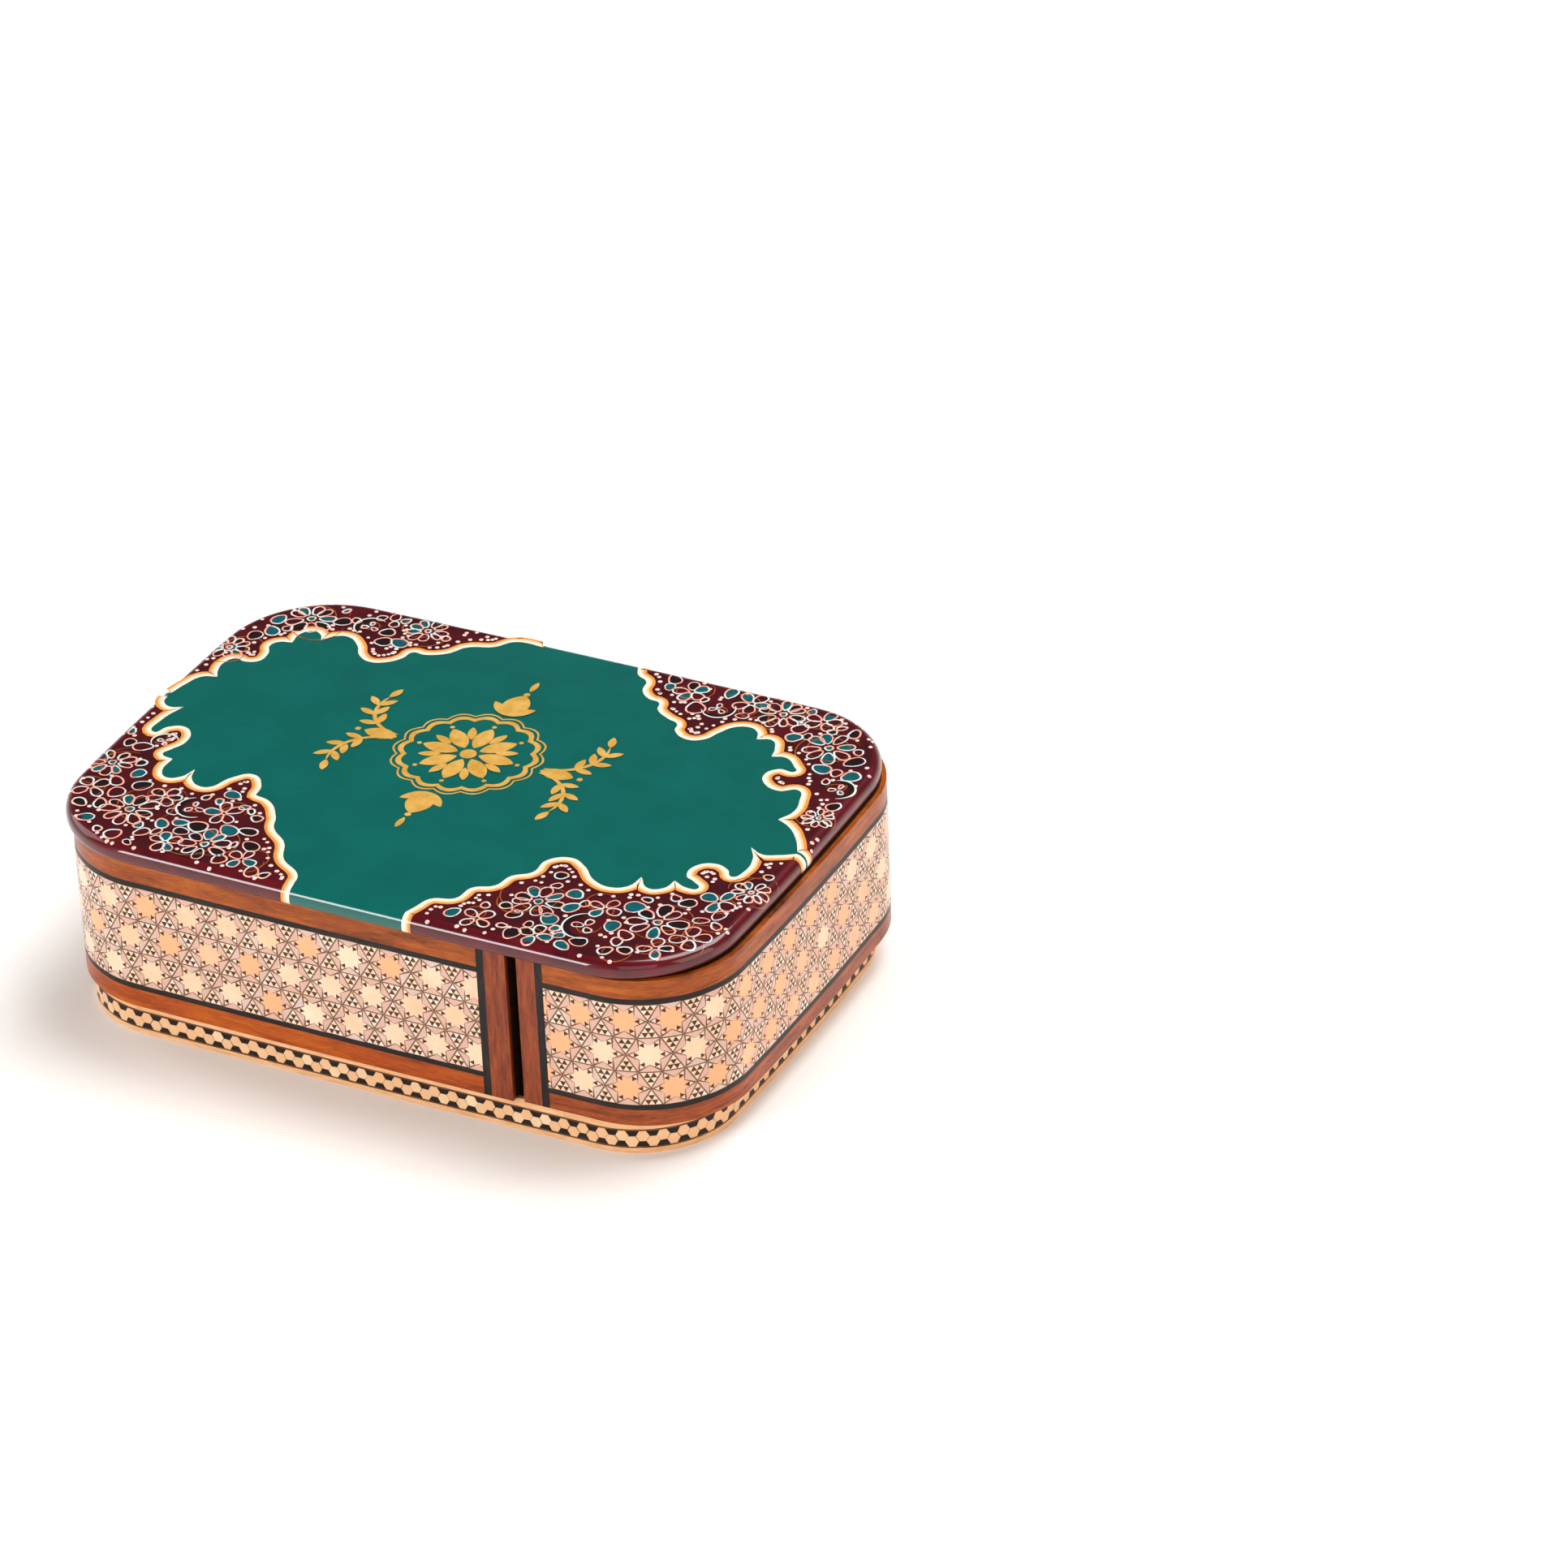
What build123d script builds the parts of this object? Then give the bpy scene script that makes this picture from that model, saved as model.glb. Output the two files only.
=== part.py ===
from build123d import *
from math import sqrt
import os

# Small inlaid wooden box. A fixed sleeve (plinth, left-hand case and lid) holds a
# drawer whose outer end cap is the right-hand third of the box's wall.
# Frame: +Z up, X along the box, front faces -Y, origin under the middle of the plinth.

# Outline of the lid, seen from above
LID_LENGTH = 120.0
LID_WIDTH = 84.0
END_RADIUS = 720.0       # the short ends bulge a little
SIDE_RADIUS = 3500.0     # and the long sides very slightly
CORNER_RADIUS = 18.5

# Heights, from the table up
PLINTH_HEIGHT = 6.0
WALL_TOP = 33.5
LID_THICKNESS = 3.0
RAIL_LOWER = 3.3         # visible height of the lower wood rail
RAIL_UPPER = 3.6
BLACK_LINE = 1.0

# Setbacks from the lid's outline
BELT_INSET = 0.9         # face of the inlaid wall
VENEER = 0.8             # thickness of every strip and panel glued on the outside
CASE_WALL = 3.1          # solid wood behind the veneer
PLINTH_INSET = 2.0
TRAY_CLEARANCE = 0.4     # between case wall and tray, all round
TRAY_WALL = 2.2
LINING = 0.6

# The upright joint between case and drawer cap
CASE_END_X = 27.4
AJAR = 2.0               # how far the drawer stands open at rest
CLOSED_GAP = 0.2         # left between the stiles when the drawer is pushed home
CASE_STILE = 3.8
CAP_STILE = 3.2
UPRIGHT_LINE = 1.35

# Plinth strips, from the table up
BASE_STRIP = 0.95
FINE_LINE = 0.3
HEXAGON_BAND = 2.9
FELT = 0.5
FELT_INSET = 6.0

# Drawer and its guides
CAP_CLEARANCE_BELOW = 0.4
CAP_CLEARANCE_ABOVE = 0.2
FLOOR_Z = 6.8
FLOOR_THICKNESS = 2.6
TRAY_TOP = 31.6
TRAVEL = 58.0            # from rest to the stop
RUNNER_WIDTH = 3.0
RUNNER_HEIGHT = 0.7
RUNNER_Y = 28.0
RUNNER_START_X = -46.0
KICKER_WIDTH = 2.4
KICKER_START_X = -32.0
KICKER_GAP = 0.3
PIN_RADIUS = 1.2
PIN_X = 20.0
PIN_DEPTH = 3.0
PIN_TOP = 8.0
GROOVE_DEPTH = 1.5
GROOVE_SLACK = 0.3

# Lid edge
LID_TOP_ROUND = 1.6
LID_BOTTOM_ROUND = 0.9

# Worked out from the above
BELT_CORE = BELT_INSET + VENEER
CASE_INNER = BELT_CORE + CASE_WALL
TRAY_OUTER = CASE_INNER + TRAY_CLEARANCE
TRAY_INNER = TRAY_OUTER + TRAY_WALL
PLINTH_CORE = PLINTH_INSET + VENEER
CAP_START_X = CASE_END_X + CLOSED_GAP          # with the drawer closed
CASE_LINE_X = CASE_END_X - CASE_STILE
CASE_PANEL_END_X = CASE_LINE_X - UPRIGHT_LINE
CAP_LINE_X = CAP_START_X + CAP_STILE
CAP_PANEL_START_X = CAP_LINE_X + UPRIGHT_LINE
DRAWER_SHIFT = AJAR - CLOSED_GAP
LOWER_LINE_Z = PLINTH_HEIGHT + RAIL_LOWER
PANEL_Z = LOWER_LINE_Z + BLACK_LINE
UPPER_RAIL_Z = WALL_TOP - RAIL_UPPER
UPPER_LINE_Z = UPPER_RAIL_Z - BLACK_LINE
PANEL_HEIGHT = UPPER_LINE_Z - PANEL_Z
CAP_BOTTOM = PLINTH_HEIGHT + CAP_CLEARANCE_BELOW
CAP_TOP = WALL_TOP - CAP_CLEARANCE_ABOVE
TOP_STRIP_Z = BASE_STRIP + FINE_LINE + HEXAGON_BAND + FINE_LINE
FAR = LID_LENGTH

# The front side, the right end and the corner arc between them are tangent, so the
# corner's centre lies where two circles about the other two centres cross
side_centre = Vector(0, SIDE_RADIUS - LID_WIDTH / 2)
end_centre = Vector(LID_LENGTH / 2 - END_RADIUS, 0)
side_reach = SIDE_RADIUS - CORNER_RADIUS
end_reach = END_RADIUS - CORNER_RADIUS
between = end_centre - side_centre
along = (side_reach**2 - end_reach**2 + between.length**2) / (2 * between.length)
across = sqrt(side_reach**2 - along**2)
direction = between.normalized()
sideways = Vector(-direction.Y, direction.X)
corner_centre = side_centre + direction * along + sideways * across


def outline(inset):
    """The lid's outline shrunk by inset all round: four bowed sides, round corners."""
    side_middle = Vector(0, inset - LID_WIDTH / 2)
    end_middle = Vector(LID_LENGTH / 2 - inset, 0)
    side_end = side_centre + (corner_centre - side_centre).normalized() * (SIDE_RADIUS - inset)
    end_start = end_centre + (corner_centre - end_centre).normalized() * (END_RADIUS - inset)
    with BuildSketch() as face:
        with BuildLine():
            RadiusArc(side_middle, side_end, -(SIDE_RADIUS - inset))
            RadiusArc(side_end, end_start, -(CORNER_RADIUS - inset))
            RadiusArc(end_start, end_middle, -(END_RADIUS - inset))
            mirror(about=Plane.XZ)
            mirror(about=Plane.YZ)
        make_face()
    return face.sketch



def ring(outer_inset, inner_inset):
    """The band between two insets of the outline."""
    outer = outline(outer_inset)
    inner = outline(inner_inset)
    with BuildSketch() as face:
        add(outer)
        add(inner, mode=Mode.SUBTRACT)
    return face.sketch


def cut(sketch, x_low, x_high, y_low=-FAR, y_high=FAR):
    """The part of a sketch that lies between these X and Y limits."""
    with BuildSketch() as face:
        add(sketch)
        with Locations(((x_low + x_high) / 2, (y_low + y_high) / 2)):
            Rectangle(x_high - x_low, y_high - y_low, mode=Mode.INTERSECT)
    return face.sketch


def drawer_plane(z):
    """A level plane that moves with the drawer, which stands ajar at rest."""
    return Plane(origin=(DRAWER_SHIFT, 0, z))


os.makedirs("parts", exist_ok=True)

veneer_ring = ring(BELT_INSET, BELT_CORE)
plinth_ring = ring(PLINTH_INSET, PLINTH_CORE)
case_skin = cut(veneer_ring, -FAR, CASE_PANEL_END_X)
cap_skin = cut(veneer_ring, CAP_PANEL_START_X, FAR)

# ---------------------------------------------------------------- plinth
plinth_plan = outline(PLINTH_CORE)
felt_plan = outline(FELT_INSET)
with BuildPart() as plinth_core:
    with BuildSketch():
        add(plinth_plan)
    extrude(amount=PLINTH_HEIGHT)
    with BuildSketch():
        add(felt_plan)
    extrude(amount=FELT, mode=Mode.SUBTRACT)
    with Locations((PIN_X, 0, PLINTH_HEIGHT)):
        Hole(PIN_RADIUS, depth=PIN_DEPTH)
plinth_core.part.label = "plinth_core"
export_step(plinth_core.part, "parts/plinth_core.step")

with BuildPart() as base_felt:
    with BuildSketch():
        add(felt_plan)
    extrude(amount=FELT)
base_felt.part.label = "base_felt"
export_step(base_felt.part, "parts/base_felt.step")

with BuildPart() as plinth_base_strip:
    with BuildSketch():
        add(plinth_ring)
    extrude(amount=BASE_STRIP)
plinth_base_strip.part.label = "plinth_base_strip"
export_step(plinth_base_strip.part, "parts/plinth_base_strip.step")

with BuildPart() as plinth_lower_line:
    with BuildSketch(Plane.XY.offset(BASE_STRIP)):
        add(plinth_ring)
    extrude(amount=FINE_LINE)
plinth_lower_line.part.label = "plinth_lower_line"
export_step(plinth_lower_line.part, "parts/plinth_lower_line.step")

with BuildPart() as plinth_hexagon_band:
    with BuildSketch(Plane.XY.offset(BASE_STRIP + FINE_LINE)):
        add(plinth_ring)
    extrude(amount=HEXAGON_BAND)
plinth_hexagon_band.part.label = "plinth_hexagon_band"
export_step(plinth_hexagon_band.part, "parts/plinth_hexagon_band.step")

with BuildPart() as plinth_upper_line:
    with BuildSketch(Plane.XY.offset(TOP_STRIP_Z - FINE_LINE)):
        add(plinth_ring)
    extrude(amount=FINE_LINE)
plinth_upper_line.part.label = "plinth_upper_line"
export_step(plinth_upper_line.part, "parts/plinth_upper_line.step")

with BuildPart() as plinth_top_strip:
    with BuildSketch(Plane.XY.offset(TOP_STRIP_Z)):
        add(plinth_ring)
    extrude(amount=PLINTH_HEIGHT - TOP_STRIP_Z)
plinth_top_strip.part.label = "plinth_top_strip"
export_step(plinth_top_strip.part, "parts/plinth_top_strip.step")

# ---------------------------------------------------------------- fixed case
case_core_plan = cut(ring(BELT_CORE, CASE_INNER), -FAR, CASE_END_X)
with BuildPart() as case_wall:
    with BuildSketch(Plane.XY.offset(PLINTH_HEIGHT)):
        add(case_core_plan)
    extrude(amount=WALL_TOP - PLINTH_HEIGHT)
case_wall.part.label = "case_wall"
export_step(case_wall.part, "parts/case_wall.step")

with BuildPart() as case_lower_rail:
    with BuildSketch(Plane.XY.offset(PLINTH_HEIGHT)):
        add(case_skin)
    extrude(amount=RAIL_LOWER)
case_lower_rail.part.label = "case_lower_rail"
export_step(case_lower_rail.part, "parts/case_lower_rail.step")

with BuildPart() as case_lower_black_line:
    with BuildSketch(Plane.XY.offset(LOWER_LINE_Z)):
        add(case_skin)
    extrude(amount=BLACK_LINE)
case_lower_black_line.part.label = "case_lower_black_line"
export_step(case_lower_black_line.part, "parts/case_lower_black_line.step")

with BuildPart() as case_khatam_panel:
    with BuildSketch(Plane.XY.offset(PANEL_Z)):
        add(case_skin)
    extrude(amount=PANEL_HEIGHT)
case_khatam_panel.part.label = "case_khatam_panel"
export_step(case_khatam_panel.part, "parts/case_khatam_panel.step")

with BuildPart() as case_upper_black_line:
    with BuildSketch(Plane.XY.offset(UPPER_LINE_Z)):
        add(case_skin)
    extrude(amount=BLACK_LINE)
case_upper_black_line.part.label = "case_upper_black_line"
export_step(case_upper_black_line.part, "parts/case_upper_black_line.step")

with BuildPart() as case_upper_rail:
    with BuildSketch(Plane.XY.offset(UPPER_RAIL_Z)):
        add(case_skin)
    extrude(amount=RAIL_UPPER)
case_upper_rail.part.label = "case_upper_rail"
export_step(case_upper_rail.part, "parts/case_upper_rail.step")

case_line_front = cut(veneer_ring, CASE_PANEL_END_X, CASE_LINE_X, y_high=0)
with BuildPart() as case_front_upright_line:
    with BuildSketch(Plane.XY.offset(PLINTH_HEIGHT)):
        add(case_line_front)
    extrude(amount=WALL_TOP - PLINTH_HEIGHT)
case_front_upright_line.part.label = "case_front_upright_line"
export_step(case_front_upright_line.part, "parts/case_front_upright_line.step")

case_line_back = cut(veneer_ring, CASE_PANEL_END_X, CASE_LINE_X, y_low=0)
with BuildPart() as case_back_upright_line:
    with BuildSketch(Plane.XY.offset(PLINTH_HEIGHT)):
        add(case_line_back)
    extrude(amount=WALL_TOP - PLINTH_HEIGHT)
case_back_upright_line.part.label = "case_back_upright_line"
export_step(case_back_upright_line.part, "parts/case_back_upright_line.step")

case_stile_front = cut(veneer_ring, CASE_LINE_X, CASE_END_X, y_high=0)
with BuildPart() as case_front_stile:
    with BuildSketch(Plane.XY.offset(PLINTH_HEIGHT)):
        add(case_stile_front)
    extrude(amount=WALL_TOP - PLINTH_HEIGHT)
case_front_stile.part.label = "case_front_stile"
export_step(case_front_stile.part, "parts/case_front_stile.step")

case_stile_back = cut(veneer_ring, CASE_LINE_X, CASE_END_X, y_low=0)
with BuildPart() as case_back_stile:
    with BuildSketch(Plane.XY.offset(PLINTH_HEIGHT)):
        add(case_stile_back)
    extrude(amount=WALL_TOP - PLINTH_HEIGHT)
case_back_stile.part.label = "case_back_stile"
export_step(case_back_stile.part, "parts/case_back_stile.step")

# ---------------------------------------------------------------- lid
lid_plan = outline(0)
with BuildPart() as lid_panel:
    with BuildSketch(Plane.XY.offset(WALL_TOP)):
        add(lid_plan)
    extrude(amount=LID_THICKNESS)
    fillet(lid_panel.faces().sort_by(Axis.Z)[-1].edges(), LID_TOP_ROUND)
    fillet(lid_panel.faces().sort_by(Axis.Z)[0].edges(), LID_BOTTOM_ROUND)
lid_panel.part.label = "lid_panel"
export_step(lid_panel.part, "parts/lid_panel.step")

# ---------------------------------------------------------------- guides inside the case
runner_length = CASE_END_X - RUNNER_START_X
with BuildPart() as front_runner:
    with BuildSketch(Plane.XY.offset(PLINTH_HEIGHT)):
        with Locations((RUNNER_START_X + runner_length / 2, -RUNNER_Y)):
            Rectangle(runner_length, RUNNER_WIDTH)
    extrude(amount=RUNNER_HEIGHT)
front_runner.part.label = "front_runner"
export_step(front_runner.part, "parts/front_runner.step")

with BuildPart() as back_runner:
    with BuildSketch(Plane.XY.offset(PLINTH_HEIGHT)):
        with Locations((RUNNER_START_X + runner_length / 2, RUNNER_Y)):
            Rectangle(runner_length, RUNNER_WIDTH)
    extrude(amount=RUNNER_HEIGHT)
back_runner.part.label = "back_runner"
export_step(back_runner.part, "parts/back_runner.step")

kicker_length = CASE_END_X - KICKER_START_X
kicker_y = LID_WIDTH / 2 - TRAY_OUTER - KICKER_WIDTH / 2
kicker_z = TRAY_TOP + KICKER_GAP
with BuildPart() as front_kicker:
    with BuildSketch(Plane.XY.offset(kicker_z)):
        with Locations((KICKER_START_X + kicker_length / 2, -kicker_y)):
            Rectangle(kicker_length, KICKER_WIDTH)
    extrude(amount=WALL_TOP - kicker_z)
front_kicker.part.label = "front_kicker"
export_step(front_kicker.part, "parts/front_kicker.step")

with BuildPart() as back_kicker:
    with BuildSketch(Plane.XY.offset(kicker_z)):
        with Locations((KICKER_START_X + kicker_length / 2, kicker_y)):
            Rectangle(kicker_length, KICKER_WIDTH)
    extrude(amount=WALL_TOP - kicker_z)
back_kicker.part.label = "back_kicker"
export_step(back_kicker.part, "parts/back_kicker.step")

with BuildPart() as drawer_stop_pin:
    with BuildSketch(Plane.XY.offset(PLINTH_HEIGHT - PIN_DEPTH)):
        with Locations((PIN_X, 0)):
            Circle(PIN_RADIUS)
    extrude(amount=PIN_TOP - PLINTH_HEIGHT + PIN_DEPTH)
drawer_stop_pin.part.label = "drawer_stop_pin"
export_step(drawer_stop_pin.part, "parts/drawer_stop_pin.step")

# ---------------------------------------------------------------- drawer tray
tray_plan = outline(TRAY_OUTER)
groove_start = PIN_X - DRAWER_SHIFT - TRAVEL - PIN_RADIUS - GROOVE_SLACK
groove_end = PIN_X + PIN_RADIUS + GROOVE_SLACK
with BuildPart() as tray_floor:
    with BuildSketch(drawer_plane(FLOOR_Z)):
        add(tray_plan)
    extrude(amount=FLOOR_THICKNESS)
    with BuildSketch(drawer_plane(FLOOR_Z)):
        with Locations(((groove_start + groove_end) / 2, 0)):
            SlotOverall(groove_end - groove_start, 2 * (PIN_RADIUS + GROOVE_SLACK))
    extrude(amount=GROOVE_DEPTH, mode=Mode.SUBTRACT)
tray_floor.part.label = "tray_floor"
export_step(tray_floor.part, "parts/tray_floor.step")

tray_wall_plan = ring(TRAY_OUTER, TRAY_INNER)
tray_wall_z = FLOOR_Z + FLOOR_THICKNESS
with BuildPart() as tray_wall:
    with BuildSketch(drawer_plane(tray_wall_z)):
        add(tray_wall_plan)
    extrude(amount=TRAY_TOP - tray_wall_z)
tray_wall.part.label = "tray_wall"
export_step(tray_wall.part, "parts/tray_wall.step")

floor_lining_plan = outline(TRAY_INNER)
with BuildPart() as tray_floor_lining:
    with BuildSketch(drawer_plane(tray_wall_z)):
        add(floor_lining_plan)
    extrude(amount=LINING)
tray_floor_lining.part.label = "tray_floor_lining"
export_step(tray_floor_lining.part, "parts/tray_floor_lining.step")

wall_lining_plan = ring(TRAY_INNER, TRAY_INNER + LINING)
with BuildPart() as tray_wall_lining:
    with BuildSketch(drawer_plane(tray_wall_z + LINING)):
        add(wall_lining_plan)
    extrude(amount=TRAY_TOP - tray_wall_z - 2 * LINING)
tray_wall_lining.part.label = "tray_wall_lining"
export_step(tray_wall_lining.part, "parts/tray_wall_lining.step")

# ---------------------------------------------------------------- drawer end cap
cap_core_plan = cut(ring(BELT_CORE, TRAY_OUTER), CAP_START_X, FAR)
with BuildPart() as cap_wall:
    with BuildSketch(drawer_plane(CAP_BOTTOM)):
        add(cap_core_plan)
    extrude(amount=CAP_TOP - CAP_BOTTOM)
cap_wall.part.label = "cap_wall"
export_step(cap_wall.part, "parts/cap_wall.step")

with BuildPart() as cap_lower_rail:
    with BuildSketch(drawer_plane(CAP_BOTTOM)):
        add(cap_skin)
    extrude(amount=LOWER_LINE_Z - CAP_BOTTOM)
cap_lower_rail.part.label = "cap_lower_rail"
export_step(cap_lower_rail.part, "parts/cap_lower_rail.step")

with BuildPart() as cap_lower_black_line:
    with BuildSketch(drawer_plane(LOWER_LINE_Z)):
        add(cap_skin)
    extrude(amount=BLACK_LINE)
cap_lower_black_line.part.label = "cap_lower_black_line"
export_step(cap_lower_black_line.part, "parts/cap_lower_black_line.step")

with BuildPart() as cap_khatam_panel:
    with BuildSketch(drawer_plane(PANEL_Z)):
        add(cap_skin)
    extrude(amount=PANEL_HEIGHT)
cap_khatam_panel.part.label = "cap_khatam_panel"
export_step(cap_khatam_panel.part, "parts/cap_khatam_panel.step")

with BuildPart() as cap_upper_black_line:
    with BuildSketch(drawer_plane(UPPER_LINE_Z)):
        add(cap_skin)
    extrude(amount=BLACK_LINE)
cap_upper_black_line.part.label = "cap_upper_black_line"
export_step(cap_upper_black_line.part, "parts/cap_upper_black_line.step")

with BuildPart() as cap_upper_rail:
    with BuildSketch(drawer_plane(UPPER_RAIL_Z)):
        add(cap_skin)
    extrude(amount=CAP_TOP - UPPER_RAIL_Z)
cap_upper_rail.part.label = "cap_upper_rail"
export_step(cap_upper_rail.part, "parts/cap_upper_rail.step")

cap_line_front = cut(veneer_ring, CAP_LINE_X, CAP_PANEL_START_X, y_high=0)
with BuildPart() as cap_front_upright_line:
    with BuildSketch(drawer_plane(CAP_BOTTOM)):
        add(cap_line_front)
    extrude(amount=CAP_TOP - CAP_BOTTOM)
cap_front_upright_line.part.label = "cap_front_upright_line"
export_step(cap_front_upright_line.part, "parts/cap_front_upright_line.step")

cap_line_back = cut(veneer_ring, CAP_LINE_X, CAP_PANEL_START_X, y_low=0)
with BuildPart() as cap_back_upright_line:
    with BuildSketch(drawer_plane(CAP_BOTTOM)):
        add(cap_line_back)
    extrude(amount=CAP_TOP - CAP_BOTTOM)
cap_back_upright_line.part.label = "cap_back_upright_line"
export_step(cap_back_upright_line.part, "parts/cap_back_upright_line.step")

cap_stile_front = cut(veneer_ring, CAP_START_X, CAP_LINE_X, y_high=0)
with BuildPart() as cap_front_stile:
    with BuildSketch(drawer_plane(CAP_BOTTOM)):
        add(cap_stile_front)
    extrude(amount=CAP_TOP - CAP_BOTTOM)
cap_front_stile.part.label = "cap_front_stile"
export_step(cap_front_stile.part, "parts/cap_front_stile.step")

cap_stile_back = cut(veneer_ring, CAP_START_X, CAP_LINE_X, y_low=0)
with BuildPart() as cap_back_stile:
    with BuildSketch(drawer_plane(CAP_BOTTOM)):
        add(cap_stile_back)
    extrude(amount=CAP_TOP - CAP_BOTTOM)
cap_back_stile.part.label = "cap_back_stile"
export_step(cap_back_stile.part, "parts/cap_back_stile.step")
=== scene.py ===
# %% [markdown]
# # An inlaid wooden box with a painted lid
# The real box is a wooden case skinned with mosaic veneer, strips of dyed and plain wood, and
# a lid that is painted by hand and lacquered. Its right-hand end is the cap of a drawer. The
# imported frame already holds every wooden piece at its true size, so this script only adds what
# a craftsman adds to the bare wood: the mosaic, the painting and the finishes.

# %% Load the frame and remember its size
import math
import random

import bmesh
import bpy
from mathutils import Matrix, Vector


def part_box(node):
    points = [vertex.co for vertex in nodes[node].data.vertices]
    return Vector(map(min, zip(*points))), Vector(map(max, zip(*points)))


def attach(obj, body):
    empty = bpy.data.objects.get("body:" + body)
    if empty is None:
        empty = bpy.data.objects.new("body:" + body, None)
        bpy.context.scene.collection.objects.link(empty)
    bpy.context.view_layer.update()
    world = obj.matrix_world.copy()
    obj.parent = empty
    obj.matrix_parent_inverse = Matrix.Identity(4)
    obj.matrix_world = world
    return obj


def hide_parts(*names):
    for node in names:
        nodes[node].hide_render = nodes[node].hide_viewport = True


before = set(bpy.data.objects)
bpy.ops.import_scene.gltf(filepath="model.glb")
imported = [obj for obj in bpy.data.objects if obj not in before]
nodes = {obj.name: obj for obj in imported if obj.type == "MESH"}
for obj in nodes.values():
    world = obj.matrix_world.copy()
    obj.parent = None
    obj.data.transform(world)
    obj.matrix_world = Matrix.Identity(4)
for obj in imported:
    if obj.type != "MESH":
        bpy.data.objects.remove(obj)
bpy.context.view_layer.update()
MM = 0.001
print("pieces in the frame:", len(nodes))

# %% [markdown]
# The box seen from above is a rectangle whose sides bulge a little and whose corners are
# large arcs. Every strip and every tile follows that line, so it is written once here as a
# chain of arcs about fixed centres. Shrinking the line by an inset only shortens the radii.

# %% The outline that everything follows
lid_low, lid_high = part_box("lid_panel")
HALF_LENGTH = lid_high.x
HALF_WIDTH = lid_high.y
LID_TOP = lid_high.z
LID_BOTTOM = lid_low.z
SIDE_RADIUS = 3500 * MM
END_RADIUS = 720 * MM
CORNER_RADIUS = 18.5 * MM

side_centre = Vector((0, SIDE_RADIUS - HALF_WIDTH))
end_centre = Vector((HALF_LENGTH - END_RADIUS, 0))
side_reach = SIDE_RADIUS - CORNER_RADIUS
end_reach = END_RADIUS - CORNER_RADIUS
between = end_centre - side_centre
along = (side_reach**2 - end_reach**2 + between.length**2) / (2 * between.length)
across = math.sqrt(side_reach**2 - along**2)
direction = between.normalized()
corner = side_centre + direction * along + Vector((-direction.y, direction.x)) * across
CORNER_X = corner.x
CORNER_Y = -corner.y
side_turn = math.atan2(corner.x, side_centre.y - corner.y)
end_turn = math.atan2(-corner.y, corner.x - end_centre.x)
corner_turn = math.pi / 2 - side_turn - end_turn


def polar(angle, length=1.0):
    """A flat vector of this length that points along angle."""
    return Vector((math.cos(angle), math.sin(angle))) * length


def outline_arcs(inset):
    """Centre, radius, start angle and turn of each arc, from the front middle to the right."""
    side = SIDE_RADIUS - inset
    end = END_RADIUS - inset
    bend = CORNER_RADIUS - inset
    far_x = HALF_LENGTH - END_RADIUS
    far_y = SIDE_RADIUS - HALF_WIDTH
    quarter = math.pi / 2
    return [
        (0, far_y, side, -quarter, side_turn),
        (CORNER_X, -CORNER_Y, bend, -quarter + side_turn, corner_turn),
        (far_x, 0, end, -end_turn, 2 * end_turn),
        (CORNER_X, CORNER_Y, bend, end_turn, corner_turn),
        (0, -far_y, side, quarter - side_turn, 2 * side_turn),
        (-CORNER_X, CORNER_Y, bend, quarter + side_turn, corner_turn),
        (-far_x, 0, end, math.pi - end_turn, 2 * end_turn),
        (-CORNER_X, -CORNER_Y, bend, math.pi + end_turn, corner_turn),
        (0, far_y, side, -quarter - side_turn, side_turn),
    ]


def outline_length(inset):
    """How long the outline is, this far inside the lid's."""
    return sum(radius * turn for _, _, radius, _, turn in outline_arcs(inset))


def walk(inset, distance):
    """The point and outward direction this far along the outline from the front middle."""
    rest = distance % outline_length(inset)
    for x, y, radius, start, turn in outline_arcs(inset):
        if rest <= radius * turn + 1e-9:
            out = polar(start + rest / radius)
            return Vector((x, y)) + out * radius, out
        rest -= radius * turn
    return Vector((0, inset - HALF_WIDTH)), Vector((0, -1))


def from_edge(x, y):
    """How far inside the lid's outline a point is, and which way is out."""
    flip = Vector((math.copysign(1, x), math.copysign(1, y)))
    point = Vector((abs(x), abs(y)))
    arm = point - Vector((CORNER_X, CORNER_Y))
    angle = math.atan2(arm.y, arm.x)
    if end_turn < angle < math.pi / 2 - side_turn:
        out = arm.normalized()
        inside = CORNER_RADIUS - arm.length
    else:
        to_side = point - Vector((0, HALF_WIDTH - SIDE_RADIUS))
        to_end = point - Vector((HALF_LENGTH - END_RADIUS, 0))
        inside = SIDE_RADIUS - to_side.length
        out = to_side.normalized()
        if END_RADIUS - to_end.length < inside:
            inside = END_RADIUS - to_end.length
            out = to_end.normalized()
    return inside, Vector((out.x * flip.x, out.y * flip.y))


print(f"outline {outline_length(0) / MM:.1f} mm round")

# %% [markdown]
# ## Finishes
# Every finish starts from the real material. Each one is a Principled shader whose constant
# numbers sit on its own sockets, and a few texture nodes that vary the colour and the relief.
# Patterns are set out in Object coordinates, in metres, so a grain line keeps its real width.

# %% Helpers for materials


def srgb(code):
    """An sRGB hex colour as the linear values that shaders work in."""
    parts = [int(code[i:i + 2], 16) / 255 for i in (0, 2, 4)]
    linear = [c / 12.92 if c <= 0.04045 else ((c + 0.055) / 1.055) ** 2.4 for c in parts]
    return (*linear, 1.0)


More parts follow.
